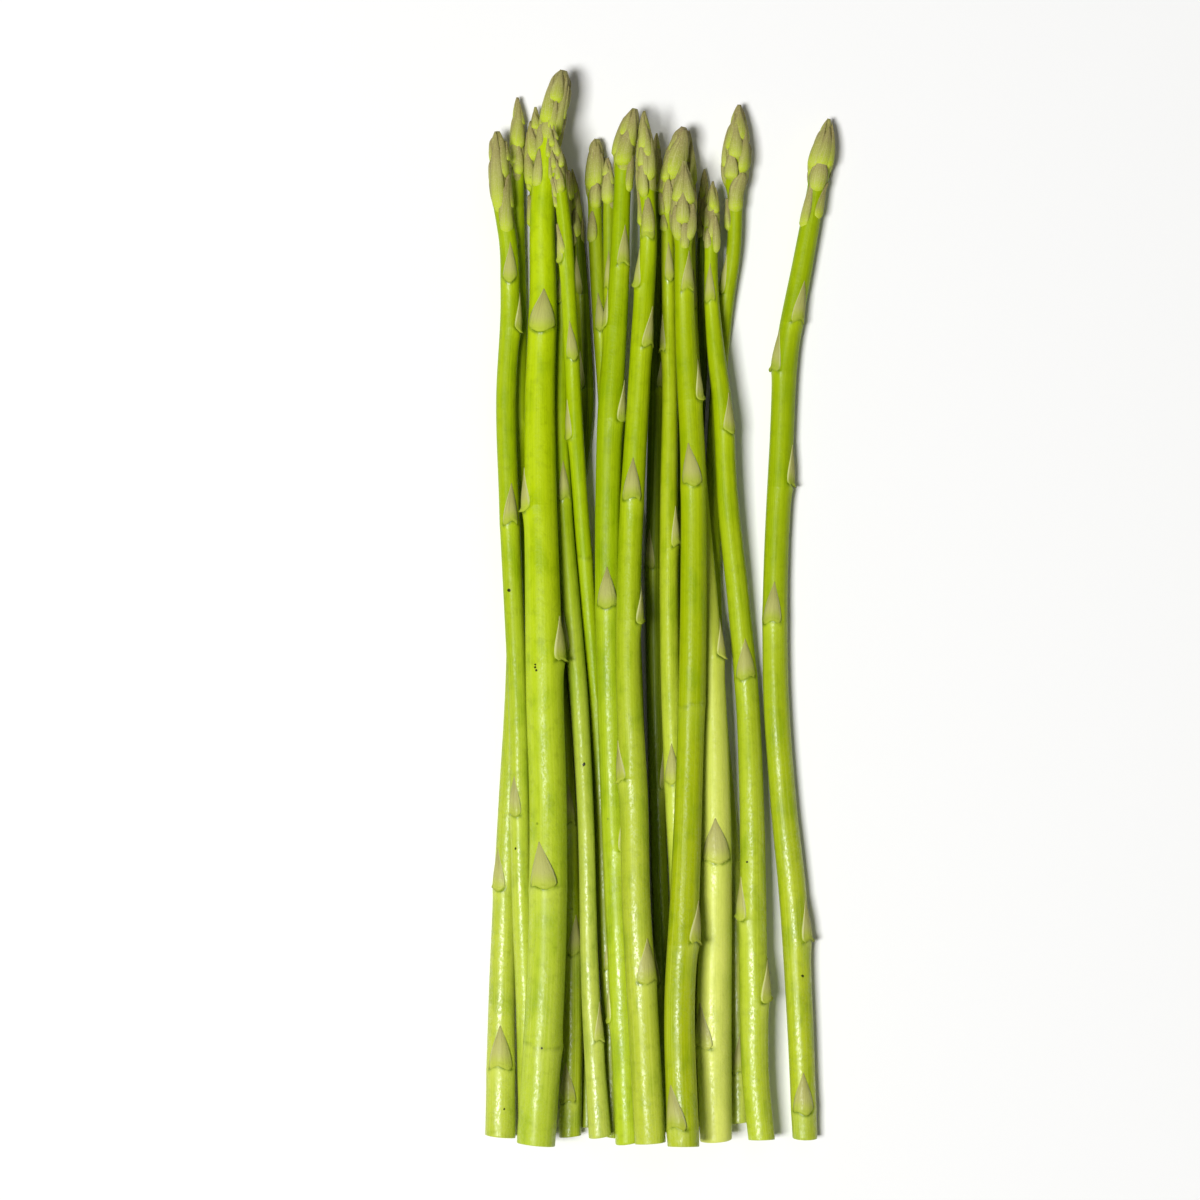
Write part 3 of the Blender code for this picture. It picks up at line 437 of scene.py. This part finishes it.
def laySpears(laying):
    # A spear lies on the surface, or at the height where two round stems as far apart as these just
    # clear each other: the root of their common reach squared less their distance squared.
    laid = []
    for number in lying["order"]:
        spear = laying[number]
        values = spear.values
        along = grid[(grid >= spear.butt) & (grid <= spear.tip)]
        if values.get("onSurface"):
            rest = spear.stem(along) * lying["restShare"]
            rise = spear.headWidth / 2 + lying["surfaceGap"] - rest
            start = spear.headBase - lying["headRise"]
            height = rest + rise * smoothStep((along - start) / lying["headRise"])
        else:
            low = spear.reach(along) + lying["surfaceGap"]
            if values.get("propped"):
                low = np.where(abs(along - values["propped"][0]) < 1, values["propped"][1], low)
            for other in laid:
                apart = spear.across(along) - other.across(along)
                flanks = np.where(apart > 0, spear.reach(along, -1) + other.reach(along, 1),
                                  spear.reach(along, 1) + other.reach(along, -1))
                stacked = abs(apart) < lying["beside"] * flanks
                span = np.where(stacked, spear.reach(along) + other.reach(along), flanks)
                span = span * lying["slack"] + lying["spearGap"]
                over = (abs(apart) < span) & (along >= other.butt) & (along <= other.tip)
                if values.get("under") and values["under"][0] == other.number:
                    over &= along < values["under"][1]
                lifted = other.height(along) + np.sqrt(np.maximum(span**2 - apart**2, 0))
                low = np.where(over, np.maximum(low, lifted), low)
            height = draped(low, along)
        spear.heights = np.interp(grid, along, height)
        laid.append(spear)


# What a spear's points carry for its material, and how many axes each mark has with the points'
# rows and columns: 2 for a number, 3 for a vector. leafKind is 0 on stems, 1 on bracts, 2 on buds
# and the spiral's scales, and 3 on placed ones.
markAxes = dict(leafKind=2, leafAcross=2, leafAlong=2, crease=2, bloom=2, cut=2, stemAround=3)


class Skin:
    # Gathers the closed surfaces of one spear, and makes them one mesh.
    def __init__(self):
        self.points, self.faces, self.count = [], [], 0
        self.marks = {name: [] for name in markAxes}

    def add(self, points, **marks):
        # points is rows by columns by 3. Columns close round, and the first and last row each
        # shrink to their mean.
        rows, columns = points.shape[:2]
        body = points[1:-1].reshape(-1, 3)
        self.points += [body, points[[0, -1]].mean(axis=1)]
        for name, axes in markAxes.items():
            shape = (rows, columns, 3)[:axes]
            given = np.broadcast_to(marks.get(name, 0.0), shape)
            self.marks[name] += [given[1:-1].reshape(-1, *shape[2:]), given[[0, -1]].mean(axis=1)]
        index = self.count + np.arange((rows - 2) * columns).reshape(rows - 2, columns)
        after = np.roll(index, -1, axis=1)
        quads = np.stack([index[:-1], after[:-1], after[1:], index[1:]], -1).reshape(-1, 4)
        first, last = self.count + len(body), self.count + len(body) + 1
        head = np.stack([np.full(columns, first), after[0], index[0]], -1)
        tail = np.stack([index[-1], after[-1], np.full(columns, last)], -1)
        self.faces += quads.tolist() + head.tolist() + tail.tolist()
        self.count += len(body) + 2

    def mesh(self, name):
        points = np.concatenate(self.points)
        points[:, 2] = np.maximum(points[:, 2], 0.0)  # what rests on the surface is pressed flat
        points[:, :2] -= np.array(lying["middle"])
        made = bpy.data.meshes.new(name)
        made.from_pydata((points * mm).tolist(), [], self.faces)
        for mark, axes in markAxes.items():
            kind, field = ("FLOAT", "value") if axes == 2 else ("FLOAT_VECTOR", "vector")
            layer = made.attributes.new(mark, kind, "POINT")
            values = np.concatenate(self.marks[mark]).astype(np.float32)
            layer.data.foreach_set(field, values.ravel())
        made.polygons.foreach_set("use_smooth", np.ones(len(made.polygons), bool))
        made.update()
        return made


# creaseShadeWidth is how wide the painted shade in the groove under a bract's base is.
stemForm = dict(
    around=44, step=1.3, headRows=22, nodeFrom=-2.6, nodeTo=1.2, nodeStep=0.22,
    oval=0.016, ribs=7, rib=0.007, ledge=0.75, ledgeRise=2.8, ledgeDrop=0.35,
    # paleAndHighlightLength and paleAndHighlightRound shape the paler band below each bract, partly
    # the stem's own tone and partly a painted highlight.
    creaseShadeWidth=0.6, behind=140, faint=0.4, paleAndHighlightLength=4.5, paleAndHighlightRound=0.2, slant=0.35,
    dish=np.array([(0.45, 0.0), (0.45, 0.3), (0.42, 0.62), (0.2, 0.86), (0.04, 0.95), (0.0, 0.98),
                   (0.1, 0.998)]))  # the cut end: how far in, and the share of the radius


def stemRows(spear):
    # Places along the stem: even steps, and fine ones about each bract's base.
    form = stemForm
    rows = [np.arange(spear.butt + 0.5, spear.headBase, form["step"]),
            np.linspace(spear.headBase, spear.tip - 0.05, form["headRows"])]
    fine = np.arange(form["nodeFrom"], form["nodeTo"], form["nodeStep"])
    rows += [start + fine for start, *_ in spear.bracts]
    rows = np.unique(np.round(np.concatenate(rows), 2))
    return rows[(rows > spear.butt + 0.3) & (rows < spear.tip)]


def aroundStem(turn, share, along):
    # Where a point is round the stem's line: cosine, sine, and centimetres along it.
    return np.stack(np.broadcast_arrays(np.cos(turn) * share, np.sin(turn) * share, along / 10), -1)


def addStem(skin, spear):
    # Rings of the spear's skin radius at each row. The cut end is a slightly dished disc: rings
    # that shrink to its middle, with a round rim and a slant by the cosine. crease is a
    # bell-shaped band on a bract's base, where painted shade darkens the groove, and
    # bloom fades exponentially below it: a paler band, partly the stem's own tone and
    # partly a painted highlight. The head's tip is a scale.
    form = stemForm
    rows, dish = stemRows(spear), form["dish"]
    along = np.concatenate([spear.butt + dish[:, 0], rows, [spear.tip]])[:, None]
    share = np.concatenate([dish[:, 1], np.ones(len(rows)), [0.0]])[:, None]
    facing = np.linspace(-180, 180, form["around"], endpoint=False)[None, :]
    turn = np.radians(facing)
    slant = form["slant"] * np.cos(turn + 1.7 * spear.number) * share * (along < spear.butt + 0.5)
    points = spear.point(along + slant, facing, spear.skin(along, facing) * share)
    crease, bloom = np.zeros(points.shape[:2]), np.zeros(points.shape[:2])
    for start, leafFacing, length, stand, halfAngle in spear.bracts:
        away = awayFrom(facing, leafFacing)
        wide = 1 - smoothStep((abs(away) - halfAngle + 4) / 14)
        # Even a bract that faces away leaves a faint ring of painted crease shade.
        if abs(leafFacing) > form["behind"]:
            wide = np.maximum(wide, form["faint"])  # from the front only a faint ring shows
        past = along - start - spear.sag(start, away, halfAngle)
        # Painted shade in the groove along the bract's base.
        crease = np.maximum(crease, np.exp(-(past / form["creaseShadeWidth"]) ** 2) * wide)
        # A paler band fades out below the base: partly the stem's own tone, partly a painted
        # highlight.
        fade = np.where(past <= 0, np.exp(np.minimum(past, 0) / form["paleAndHighlightLength"]), 0)
        bloom = np.maximum(bloom, fade * (form["paleAndHighlightRound"] + (1 - form["paleAndHighlightRound"]) * wide))
    cut = (np.arange(len(along)) < len(dish) - 1)[:, None] * 1.0
    upHead = (along - spear.headBase) / spear.headLength
    inTip = smoothStep((upHead - 0.42) / 0.1)
    skin.add(points, crease=crease, bloom=bloom, cut=cut, stemAround=aroundStem(turn, share, along),
             leafKind=placedForm["mark"] * inTip, leafAlong=0.4 + 0.5 * np.clip(upHead, 0, 1))


def addScale(skin, spear, form, start, length, facing, halfAngle, lift, bend=0.0, sag=None,
             backAt=0.0):
    # A closed leaf: v runs from its base to its point and u from edge to edge. Its angle is the
    # facing plus half angle times outline(v) times u, its radius lift(along, u, v, angle). The back
    # of the leaf is an arc inside the spear. With sag, the base follows that line.
    inner = form["back"] * float(spear.core(start + backAt * length))
    v = np.linspace(0, 1, form["rows"]) ** 0.9
    front, back = np.linspace(-1, 1, form["columns"]), np.linspace(1, -1, 6)[1:-1]
    u = np.concatenate([front, back])[None, :]
    isBack = (np.arange(u.size) >= len(front))[None, :]
    v = np.concatenate([[0.0], v])[:, None]
    along = start + v * length
    if sag:
        along = along + sag(u) * (1 - v) ** 2
    angle = facing + halfAngle * form["outline"](v) * u + bend * v
    radius = np.where(isBack, inner, lift(along, u, v, angle))
    radius[0] = inner  # the base closes inside the spear
    skin.add(spear.point(along, angle, radius), leafKind=form["mark"], leafAcross=u + 0 * v,
             leafAlong=v + 0 * u, stemAround=aroundStem(np.radians(angle), 1.0, along))


def teardrop(v, lean, fullness=1.0):
    # The sine of pi times v to the power of lean, to the power of fullness: 0 at both ends, and
    # widest before the middle.
    return np.sin(np.pi * np.clip(v, 0, 1) ** lean) ** fullness


def bractOutline(v):
    # One less v, fuller below the middle by 1.1 v (1 - v), with round corners at its base.
    return (1 - v) * (1 + 1.1 * v * (1 - v)) * (1 - 0.22 * np.exp(-v / 0.03))


bractForm = dict(mark=1.0, rows=20, columns=15, back=0.5, outline=bractOutline, lean=-15, foot=0.35,
                 blade=0.05, clear=0.02, edge=0.75)


def addBracts(skin, spear):
    form = bractForm
    for start, facing, length, stand, halfAngle in spear.bracts:
        def lift(along, u, v, angle):
            # Skin radius plus a stand that swells over the base and lies down towards the point,
            # lower by the square of u at the edges.
            swell = stand * (form["foot"] + (1 - form["foot"]) * teardrop(v + 0.12, 0.7))
            swell = swell * (1 - v) ** 0.4 + form["blade"]
            return spear.skin(along, angle) + swell * (1 - form["edge"] * u**2) + form["clear"]

        def sag(u):
            return spear.sag(start, halfAngle * u, halfAngle)
        lean = form["lean"] * math.sin(5 * start)
        addScale(skin, spear, form, start, length, facing, halfAngle, lift, bend=lean, sag=sag)


budForm = dict(mark=2.0, rows=16, columns=13, back=0.4, outline=lambda v: teardrop(v, 0.65, 0.85),
               halfAngle=42, edge=0.6)


def addBuds(skin, spear):
    form = budForm
    for start, facing, length, stand in spear.buds:
        if abs(facing) < 90 and "scales" in spear.values:
            continue  # a placed scale stands for it

        def lift(along, u, v, angle):
            # The core's radius plus a plump bulge that follows the outline.
            bulge = stand * teardrop(v, 0.65, 0.8) * (1 - form["edge"] * u**2)
            return spear.core(along) * 0.97 + bulge + 0.25 * v**3
        addScale(skin, spear, form, start, length, facing, form["halfAngle"], lift)


def scaleOutline(v):
    # A teardrop with a round foot, widest at three tenths, and a long point.
    return teardrop(v, 0.58, 0.75)


headForm = dict(mark=2.0, rows=14, columns=11, back=0.35, outline=scaleOutline, least=9,
                perLength=0.62, upTo=0.8, length=(0.42, -0.2), halfAngle=(46, 16), turn=50.0,
                spiral=137.5, lowFront=0.1, edge=0.1)


def addHead(skin, spear):
    # Scales in a spiral, each a golden angle on from the last and a little further up. Lower ones
    # stand over the feet of those above.
    form = headForm
    count = max(form["least"], round(spear.headLength * form["perLength"]))

    def lift(along, u, v, angle):
        # The head's outer radius times a rise from 0.84 at the foot to full at mid length, and 1.03
        # near the point; edges are lower. Under placed scales the front stays lower.
        rise = 0.84 + 0.16 * smoothStep(v / 0.45) + 0.03 * smoothStep((v - 0.4) / 0.4)
        rise = rise - 0.12 * smoothStep((v - 0.8) / 0.2)
        front = smoothStep(np.cos(np.radians(angle)) * 2) if "scales" in spear.values else 0
        return spear.outer(along) * (rise - form["lowFront"] * front) * (1 - form["edge"] * u**2)
    for k in range(count):
        share = form["upTo"] * k / (count - 1)
        start = spear.headBase + share * spear.headLength - 0.6
        length = spear.headLength * (form["length"][0] + form["length"][1] * share)
        length = min(length, spear.tip + 0.2 - start)
        facing = form["turn"] * (spear.number - 1) + k * form["spiral"]
        halfAngle = form["halfAngle"][0] + form["halfAngle"][1] * share
        addScale(skin, spear, form, start, length, facing, halfAngle, lift, backAt=0.4)


placedForm = dict(mark=3.0, rows=20, columns=15, back=0.4, outline=scaleOutline, widthShare=0.56,
                  foot=0.7, footLength=0.14, swell=0.85, blade=0.14, edge=0.7)


def addPlaced(skin, spear):
    # Scales placed one by one. Their facing is the angle whose sine is the place across, less the
    # stem's, over the head's radius; it goes evenly from the foot's to the point's.
    form = placedForm
    for foot, footAcross, point, pointAcross, width, bulge in spear.values.get("scales", ()):
        length = point - foot
        places = foot + np.array((0.3, 0.9)) * length
        radii = spear.outer(places) + 0.3 * bulge
        offsets = np.array([footAcross, pointAcross]) - spear.across(places)
        facings = np.degrees(np.arcsin(np.clip(offsets / radii, -0.96, 0.96)))
        over = np.clip(abs(offsets) - radii, 0, 0.5)  # what stands wider than the head's radius
        halfAngle = math.degrees(math.asin(min(form["widthShare"] * width / radii[0], 0.94)))

        def lift(along, u, v, angle):
            # The head's outer radius, rounded in at the foot, plus a bulge that swells quickly over
            # the foot and thins out towards the point, plus a thin blade; edges are lower.
            swell = bulge * teardrop(v, 0.55, 0.9) * (1 - 0.35 * v)
            base = spear.outer(along) * (0.94 + 0.05 * v) + over[0] * (1 - v) + over[1] * v
            base = base * (form["foot"] + (1 - form["foot"]) * smoothStep(v / form["footLength"]))
            return base + (form["swell"] * swell + form["blade"]) * (1 - form["edge"] * u**2)
        addScale(skin, spear, form, foot, length, facings[0], halfAngle, lift,
                 bend=facings[1] - facings[0])


class Wire:
    # A shader socket that adds Math nodes when it stands in a sum; node() adds any other node.
    def __init__(self, tree, socket=None):
        self.tree, self.socket = tree, socket

    def plug(self, value, into):
        if isinstance(value, Wire):
            self.tree.links.new(value.socket, into)
        else:
            into.default_value = value

    def node(self, kind, settings, sockets, out=0):
        made = self.tree.nodes.new("ShaderNode" + kind)
        for name, value in settings.items():
            setattr(made, name, value)
        for name, value in sockets.items():
            self.plug(value, made.inputs[name])
        return Wire(self.tree, made.outputs[out])

    def math(self, operation, first, *others, clamp=False):
        return self.node("Math", dict(operation=operation, use_clamp=clamp),
                         dict(enumerate((first, *others))))

    def mix(self, factor, first, second):
        return self.node("Mix", dict(data_type="RGBA", clamp_factor=True),
                         {0: factor, 6: first, 7: second}, out=2)

    def step(self, low, high):
        return self.node("MapRange", dict(interpolation_type="SMOOTHSTEP"),
                         {0: self, 1: low, 2: high, 3: 0.0, 4: 1.0})

    def band(self, low, high, share):
        return self.step(low, high) * share

    def held(self):
        return self.math("ADD", self, 0.0, clamp=True)

    def __add__(self, other):
        return self.math("ADD", self, other)

    def __sub__(self, other):
        return self.math("SUBTRACT", self, other)

    def __rsub__(self, other):
        return self.math("SUBTRACT", other, self)

    def __mul__(self, other):
        return self.math("MULTIPLY", self, other)

    def __pow__(self, other):
        return self.math("POWER", self, other)

    def __abs__(self):
        return self.math("ABSOLUTE", self)

    __radd__, __rmul__ = __add__, __mul__


# Looks that all spears share. Two numbers are where a smooth step starts and ends, and a third is
# the share that it lets in.
noises = dict(  # the first four run round the stem, veins over a leaf, the rest are as in space
    patches=dict(detail=3.0, stretch=(0.8, 0.8, 1.0)),
    fibres=dict(detail=3.0, roughness=0.6, stretch=(9.0, 9.0, 0.22)),
    fineFibres=dict(roughness=0.6, stretch=(26.0, 26.0, 0.6)),
    wet=dict(stretch=(1.6, 1.6, 0.8)),
    veins=dict(detail=4.0, roughness=0.7),
    blotches=dict(scale=420.0, detail=3.0, roughness=0.6),
    grain=dict(scale=1500.0, roughness=0.6), frost=dict(scale=2600.0, roughness=0.7),
    beads=dict(scale=1800.0, detail=3.0, roughness=0.7, stretch=(1.0, 0.6, 1.0)),
    sparse=dict(scale=60.0))

# crease is painted shade for the groove under each bract's base; the stem's own fine dots take the
# same dark green.
stemLook = dict(
    fromTip=(-0.115, 0.045), patchy=0.7, deep=colour(96, 138, 0), streak=colour(112, 132, 0),
    # bloom and paleAndHighlightUp are the pale of the stem's own fibre streaks and of the band
    # below each bract, which is partly a painted highlight.
    bloom=colour(218, 228, 104), paleAndHighlightUp=colour(196, 216, 22), crease=colour(96, 120, 0),
    patches=(0.45, 0.75, 0.35), blotches=(0.48, 0.72, 0.24), fibres=(0.42, 0.75, 0.32),
    fineFibres=(0.5, 0.75, 0.22), paleAndHighlightShare=0.42, creaseLeast=0.35, creaseMore=(0.35, 0.6, 0.6))

bractLook = dict(
    foot=colour(184, 190, 84), middle=colour(184, 182, 110), tip=colour(144, 132, 88),
    rim=colour(212, 214, 152), veins=(9.0, 0.8, 0.5),  # veins: across, along the leaf, up the stem
    toMiddle=(0.0, 0.4), dryLeast=0.5, dry=(0.38, 0.62, 0.5), toTip=(0.2, 1.0, 0.8),
    veined=(0.45, 0.65, 0.45), tipLess=0.1, stemAtFoot=0.62, stemFades=(0.0, 0.35, 0.45),
    toRim=(0.8, 0.95, 0.55), rimAlong=(0.0, 0.2))

scaleLook = dict(
    foot=colour(186, 204, 42), middle=colour(168, 178, 58), edge=colour(126, 122, 64),
    pale=colour(204, 198, 140), tip=colour(148, 134, 92),
    toMiddle=(0.1, 0.4), veined=(0.42, 0.66, 0.45), veinedAlong=(0.05, 0.4),
    patchy=(0.4, 0.7, 0.15), edgePower=3.0, edgeShare=0.7, edgeAlong=(0.12, 0.4),
    toTip=(0.25, 0.8), tipVeins=(0.62, 0.38, 0.65), tipLeast=0.35, frosted=(0.5, 0.68, 0.4))

markLook = dict(  # the cut end's bundles, the fine dots and the placed specks
    flesh=colour(214, 222, 150), ring=colour(160, 184, 60), bundles=1300.0, toFlesh=(0.15, 0.4),
    dots=95.0, dotSize=(0.02, 0.045), sparse=(0.58, 0.64), dotShare=0.6,
    speck=colour(40, 42, 6), speckRagged=0.0006, speckInner=0.7)

wetLook = dict(
    roughness=0.42, roughWet=0.24, roughLeaf=0.12, roughCut=0.2, specular=0.1,
    coatRoughness=0.36, coatIor=1.8, coatLeast=0.15, coatLeafLess=0.6,
    dryTop=(-0.11, 0.03), shineBelowBract=0.3, shineCrease=0.8, shineLeast=0.05,
    wet=(0.36, 0.6), beads=(0.44, 0.6),
    fibreRise=0.6, fineRise=0.4, veinRise=1.5, streakDepth=0.00005, grainDepth=0.0001)


def spearMaterial(spear):
    # The stem's colours come first, then the bracts' and the scales', the cut end and the specks.
    # The coat is the water: patches of beads, fewer up the stem and on leaves.
    material = bpy.data.materials.new(spear.name + "_skin")
    material.use_nodes = True
    tree = material.node_tree
    tree.nodes.clear()
    w = Wire(tree)

    def mark(name, out=2):
        return w.node("Attribute", dict(attribute_name=name), {}, out=out)

    def noise(vector, scale=1.0, detail=2.0, roughness=0.5, stretch=None):
        if stretch:
            vector = w.node("VectorMath", dict(operation="MULTIPLY"), {0: vector, 1: stretch})
        offset = (3.1 * spear.number, 1.7 * spear.number, 0.0)  # so that no two spears are alike
        vector = w.node("VectorMath", dict(operation="ADD"), {0: vector, 1: offset})
        return w.node("TexNoise", {}, {"Vector": vector, "Scale": scale, "Detail": detail,
                                       "Roughness": roughness})

    def layered(base, *layers):
        # Each colour over what is there, as far as its mask lets it.
        for mask, shade in layers:
            base = w.mix(mask, base, shade)
        return base

    def cells(scale):
        return w.node("TexVoronoi", dict(feature="F1"), {"Vector": place, "Scale": scale})

    kind, across, alongLeaf = mark("leafKind"), mark("leafAcross"), mark("leafAlong")
    crease, bloom, cut = mark("crease"), mark("bloom"), mark("cut")
    around = mark("stemAround", out=1)
    isLeaf, isScale = kind.step(0.4, 0.6), kind.step(1.4, 1.6)  # between the leaves' mark numbers
    place = w.node("TexCoord", {}, {}, out=3)
    alongY = w.node("SeparateXYZ", {}, {0: place}, out=1)
    patches, fibres, fineFibres, wet = (noise(around, **noises[name]) for name in (
        "patches", "fibres", "fineFibres", "wet"))
    blotches, grain, frost, beads, sparse = (noise(place, **noises[name]) for name in (
        "blotches", "grain", "frost", "beads", "sparse"))

    look = stemLook
    fromTip = alongY.step(*look["fromTip"])
    upper, lower = colour(*spear.values["upper"]), colour(*spear.values["lower"])
    # pale serves the stem's own fibre streaks and the band below each bract, which is partly a
    # painted highlight.
    pale = w.mix(fromTip, look["bloom"], look["paleAndHighlightUp"])
    stain = spear.values.get("stain", 1.0)
    # Painted shade in the groove under each bract's base, darker where the blotches are.
    dark = look["creaseLeast"] + blotches.band(*look["creaseMore"])
    stem = layered(
        lower, ((fromTip + (patches - 0.5) * look["patchy"]).held(), upper),
        (patches.band(*look["patches"]) * stain, look["deep"]),
        (blotches.band(*look["blotches"]) * stain, look["streak"]),
        (fibres.band(*look["fibres"]), pale),
        (fineFibres.band(*look["fineFibres"]), look["streak"]),
        (bloom * look["paleAndHighlightShare"], pale), (crease * dark, look["crease"]))

    look = bractLook
    upStem = w.node("SeparateXYZ", {}, {0: around}, out=2)
    spread = zip((across, alongLeaf, upStem), look["veins"])
    onLeaf = w.node("CombineXYZ", {}, dict(enumerate(wire * share for wire, share in spread)))
    veins = noise(onLeaf, **noises["veins"])
    dry = look["dryLeast"] + patches.band(*look["dry"])  # how brown a bract is differs on a stem
    brown = alongLeaf.band(*look["toTip"]) + veins.band(*look["veined"]) - look["tipLess"]
    atRim = abs(across).band(*look["toRim"]) * alongLeaf.step(*look["rimAlong"])
    bract = layered(
        look["foot"], (alongLeaf.step(*look["toMiddle"]), look["middle"]),
        ((brown * dry).held(), look["tip"]),
        (look["stemAtFoot"] - alongLeaf.band(*look["stemFades"]), stem), (atRim, look["rim"]))

    look = scaleLook
    papery = veins.band(*look["veined"]) * alongLeaf.step(*look["veinedAlong"])
    edge = abs(across) ** look["edgePower"] * look["edgeShare"]
    brown = veins.band(*look["tipVeins"]) + look["tipLeast"]
    scale = layered(
        look["foot"], (alongLeaf.step(*look["toMiddle"]), look["middle"]),
        ((papery + patches.band(*look["patchy"])).held(), look["pale"]),
        ((edge * alongLeaf.step(*look["edgeAlong"])).held(), look["edge"]),
        ((alongLeaf.step(*look["toTip"]) * brown).held(), look["tip"]),
        (frost.band(*look["frosted"]), look["pale"]))

    look = markLook
    shade = w.mix(isLeaf, stem, w.mix(isScale, bract, scale))
    flesh = w.mix(cells(look["bundles"]).step(*look["toFlesh"]), look["ring"], look["flesh"])
    shade = w.mix(cut, shade, flesh)
    # The fine dots are the stem's own flecks, in the same dark green as the painted crease shade.
    dots = (1 - cells(look["dots"]).step(*look["dotSize"])) * sparse.step(*look["sparse"])
    shade = w.mix(dots * look["dotShare"], shade, stemLook["crease"])
    for along, facing, size in spear.values.get("specks", ()):
        x, y, z = spear.point(along, facing, spear.skin(along, facing))
        centre = ((x - lying["middle"][0]) * mm, (y - lying["middle"][1]) * mm, z * mm)
        apart = w.node("VectorMath", dict(operation="DISTANCE"), {0: place, 1: centre}, out=1)
        ragged = apart + (grain - 0.5) * look["speckRagged"]
        near = 1 - ragged.step(size * mm * look["speckInner"], size * mm)
        shade = w.mix(near, shade, look["speck"])

    look = wetLook
    rough = look["roughness"] + (wet - 0.5) * look["roughWet"]
    rough = rough + isLeaf * look["roughLeaf"] + cut * look["roughCut"]
    shine = 1 - alongY.step(*look["dryTop"]) + bloom * look["shineBelowBract"]
    shine = (shine + crease * look["shineCrease"] + look["shineLeast"]).held()
    water = (1 - look["coatLeast"]) * wet.step(*look["wet"]) * beads.step(*look["beads"])
    coat = spear.values.get("gloss", 1.0) * (1 - isLeaf * look["coatLeafLess"])
    coat = coat * (look["coatLeast"] + water) * shine
    height = fibres * look["fibreRise"] + fineFibres * look["fineRise"]
    height = height + isLeaf * (veins * look["veinRise"])
    ridged = w.node("Bump", {}, {"Height": height, "Distance": look["streakDepth"],
                                 "Strength": 1.0})
    pebbled = w.node("Bump", {}, {"Height": grain, "Distance": look["grainDepth"],
                                  "Strength": 1.0, "Normal": ridged})
    shader = w.node("BsdfPrincipled", {}, {
        "Base Color": shade, "Roughness": rough.held(), "Coat Weight": coat.held(),
        "Coat Roughness": look["coatRoughness"], "Coat IOR": look["coatIor"],
        "Specular IOR Level": look["specular"], "Normal": pebbled})
    end = tree.nodes.new("ShaderNodeOutputMaterial")
    tree.links.new(shader.socket, end.inputs["Surface"])
    return material


def inScene(name, data):
    # An object of that name, at the origin, linked to the scene.
    thing = bpy.data.objects.new(name, data)
    bpy.context.scene.collection.objects.link(thing)
    return thing


def makeSpear(spear):
    # One mesh of a stem, its bracts, buds and head scales, each a closed surface of its own. It
    # takes the place of the spear's node. The number of its triangles comes back.
    skin = Skin()
    for add in (addStem, addBracts, addBuds, addHead, addPlaced):
        add(skin, spear)
    made = skin.mesh(spear.name + "_skin")
    made.materials.append(spearMaterial(spear))
    piece = inScene(spear.name + "_skin", made)
    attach(piece, "root")
    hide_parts(spear.name)
    "pale_skin" if spear.number == 17 else "green_skin"
    return sum(len(polygon.vertices) - 2 for polygon in made.polygons)


bundle = {number: Spear(number, values) for number, values in spears.items()}
laySpears(bundle)
print("spears laid")
triangles = [makeSpear(spear) for spear in bundle.values()]
print("spears made:", sum(triangles), "triangles, most in one:", max(triangles))

floorSize = 6.0
floorLook = {"Base Color": (0.93, 0.93, 0.92, 1), "Roughness": 0.7, "Specular IOR Level": 0.2}


def makeFloor():
    # A flat square, four corners at height 0.
    half = floorSize / 2
    made = bpy.data.meshes.new("floor")
    made.from_pydata([(-half, -half, 0), (half, -half, 0), (half, half, 0), (-half, half, 0)], [],
                     [(0, 1, 2, 3)])
    material = bpy.data.materials.new("floor_white")
    material.use_nodes = True
    shader = material.node_tree.nodes["Principled BSDF"]
    for name, value in floorLook.items():
        shader.inputs[name].default_value = value
    made.materials.append(material)
    floor = inScene("floor", made)


makeFloor()

# Lamps: place and what they point at in metres, size in metres, power in watts.
lamps = {
    "keyLamp": dict(place=(-0.86, -0.3, 2.3), at=(0.0, -0.02, 0.0), size=(0.85, 0.6), power=64.0),
    "fillLamp": dict(place=(0.4, 1.3, 2.0), at=(0.0, 0.0, 0.0), size=(1.6, 1.6), power=3.0),
}
sky = {"Color": (1.0, 1.0, 1.0, 1), "Strength": 0.08}


def aim(thing, place, at):
    # Local -Z points from place to at, and local X stays square to Y.
    away = unit(np.array(place) - np.array(at))
    level = unit(np.cross((0.0, 1.0, 0.0), away))
    over = np.cross(away, level)
    rows = [(level[i], over[i], away[i], place[i]) for i in range(3)]
    thing.matrix_world = Matrix(rows + [(0, 0, 0, 1)])


for name, values in lamps.items():
    lamp = bpy.data.lights.new(name, "AREA")
    lamp.shape = "RECTANGLE"
    lamp.size, lamp.size_y = values["size"]
    lamp.energy = values["power"]
    aim(inScene(name, lamp), values["place"], values["at"])

world = bpy.data.worlds.new("studio")
world.use_nodes = True
background = world.node_tree.nodes["Background"]
for name, value in sky.items():
    background.inputs[name].default_value = value
bpy.context.scene.world = world
bpy.context.scene.view_settings.view_transform = "Standard"

# The camera looks straight down, and its picture is 0.3 m wide at the height of the stems.
cameraView = dict(over=(-0.01507, 0.00187), height=1.259, lens=150.0, sensor=36.0)
camera = bpy.data.cameras.new("camera")
camera.lens, camera.sensor_width = cameraView["lens"], cameraView["sensor"]
viewer = inScene("camera", camera)
viewer.location = (*cameraView["over"], cameraView["height"])
bpy.context.scene.camera = viewer
print("floor, lamps and camera set")
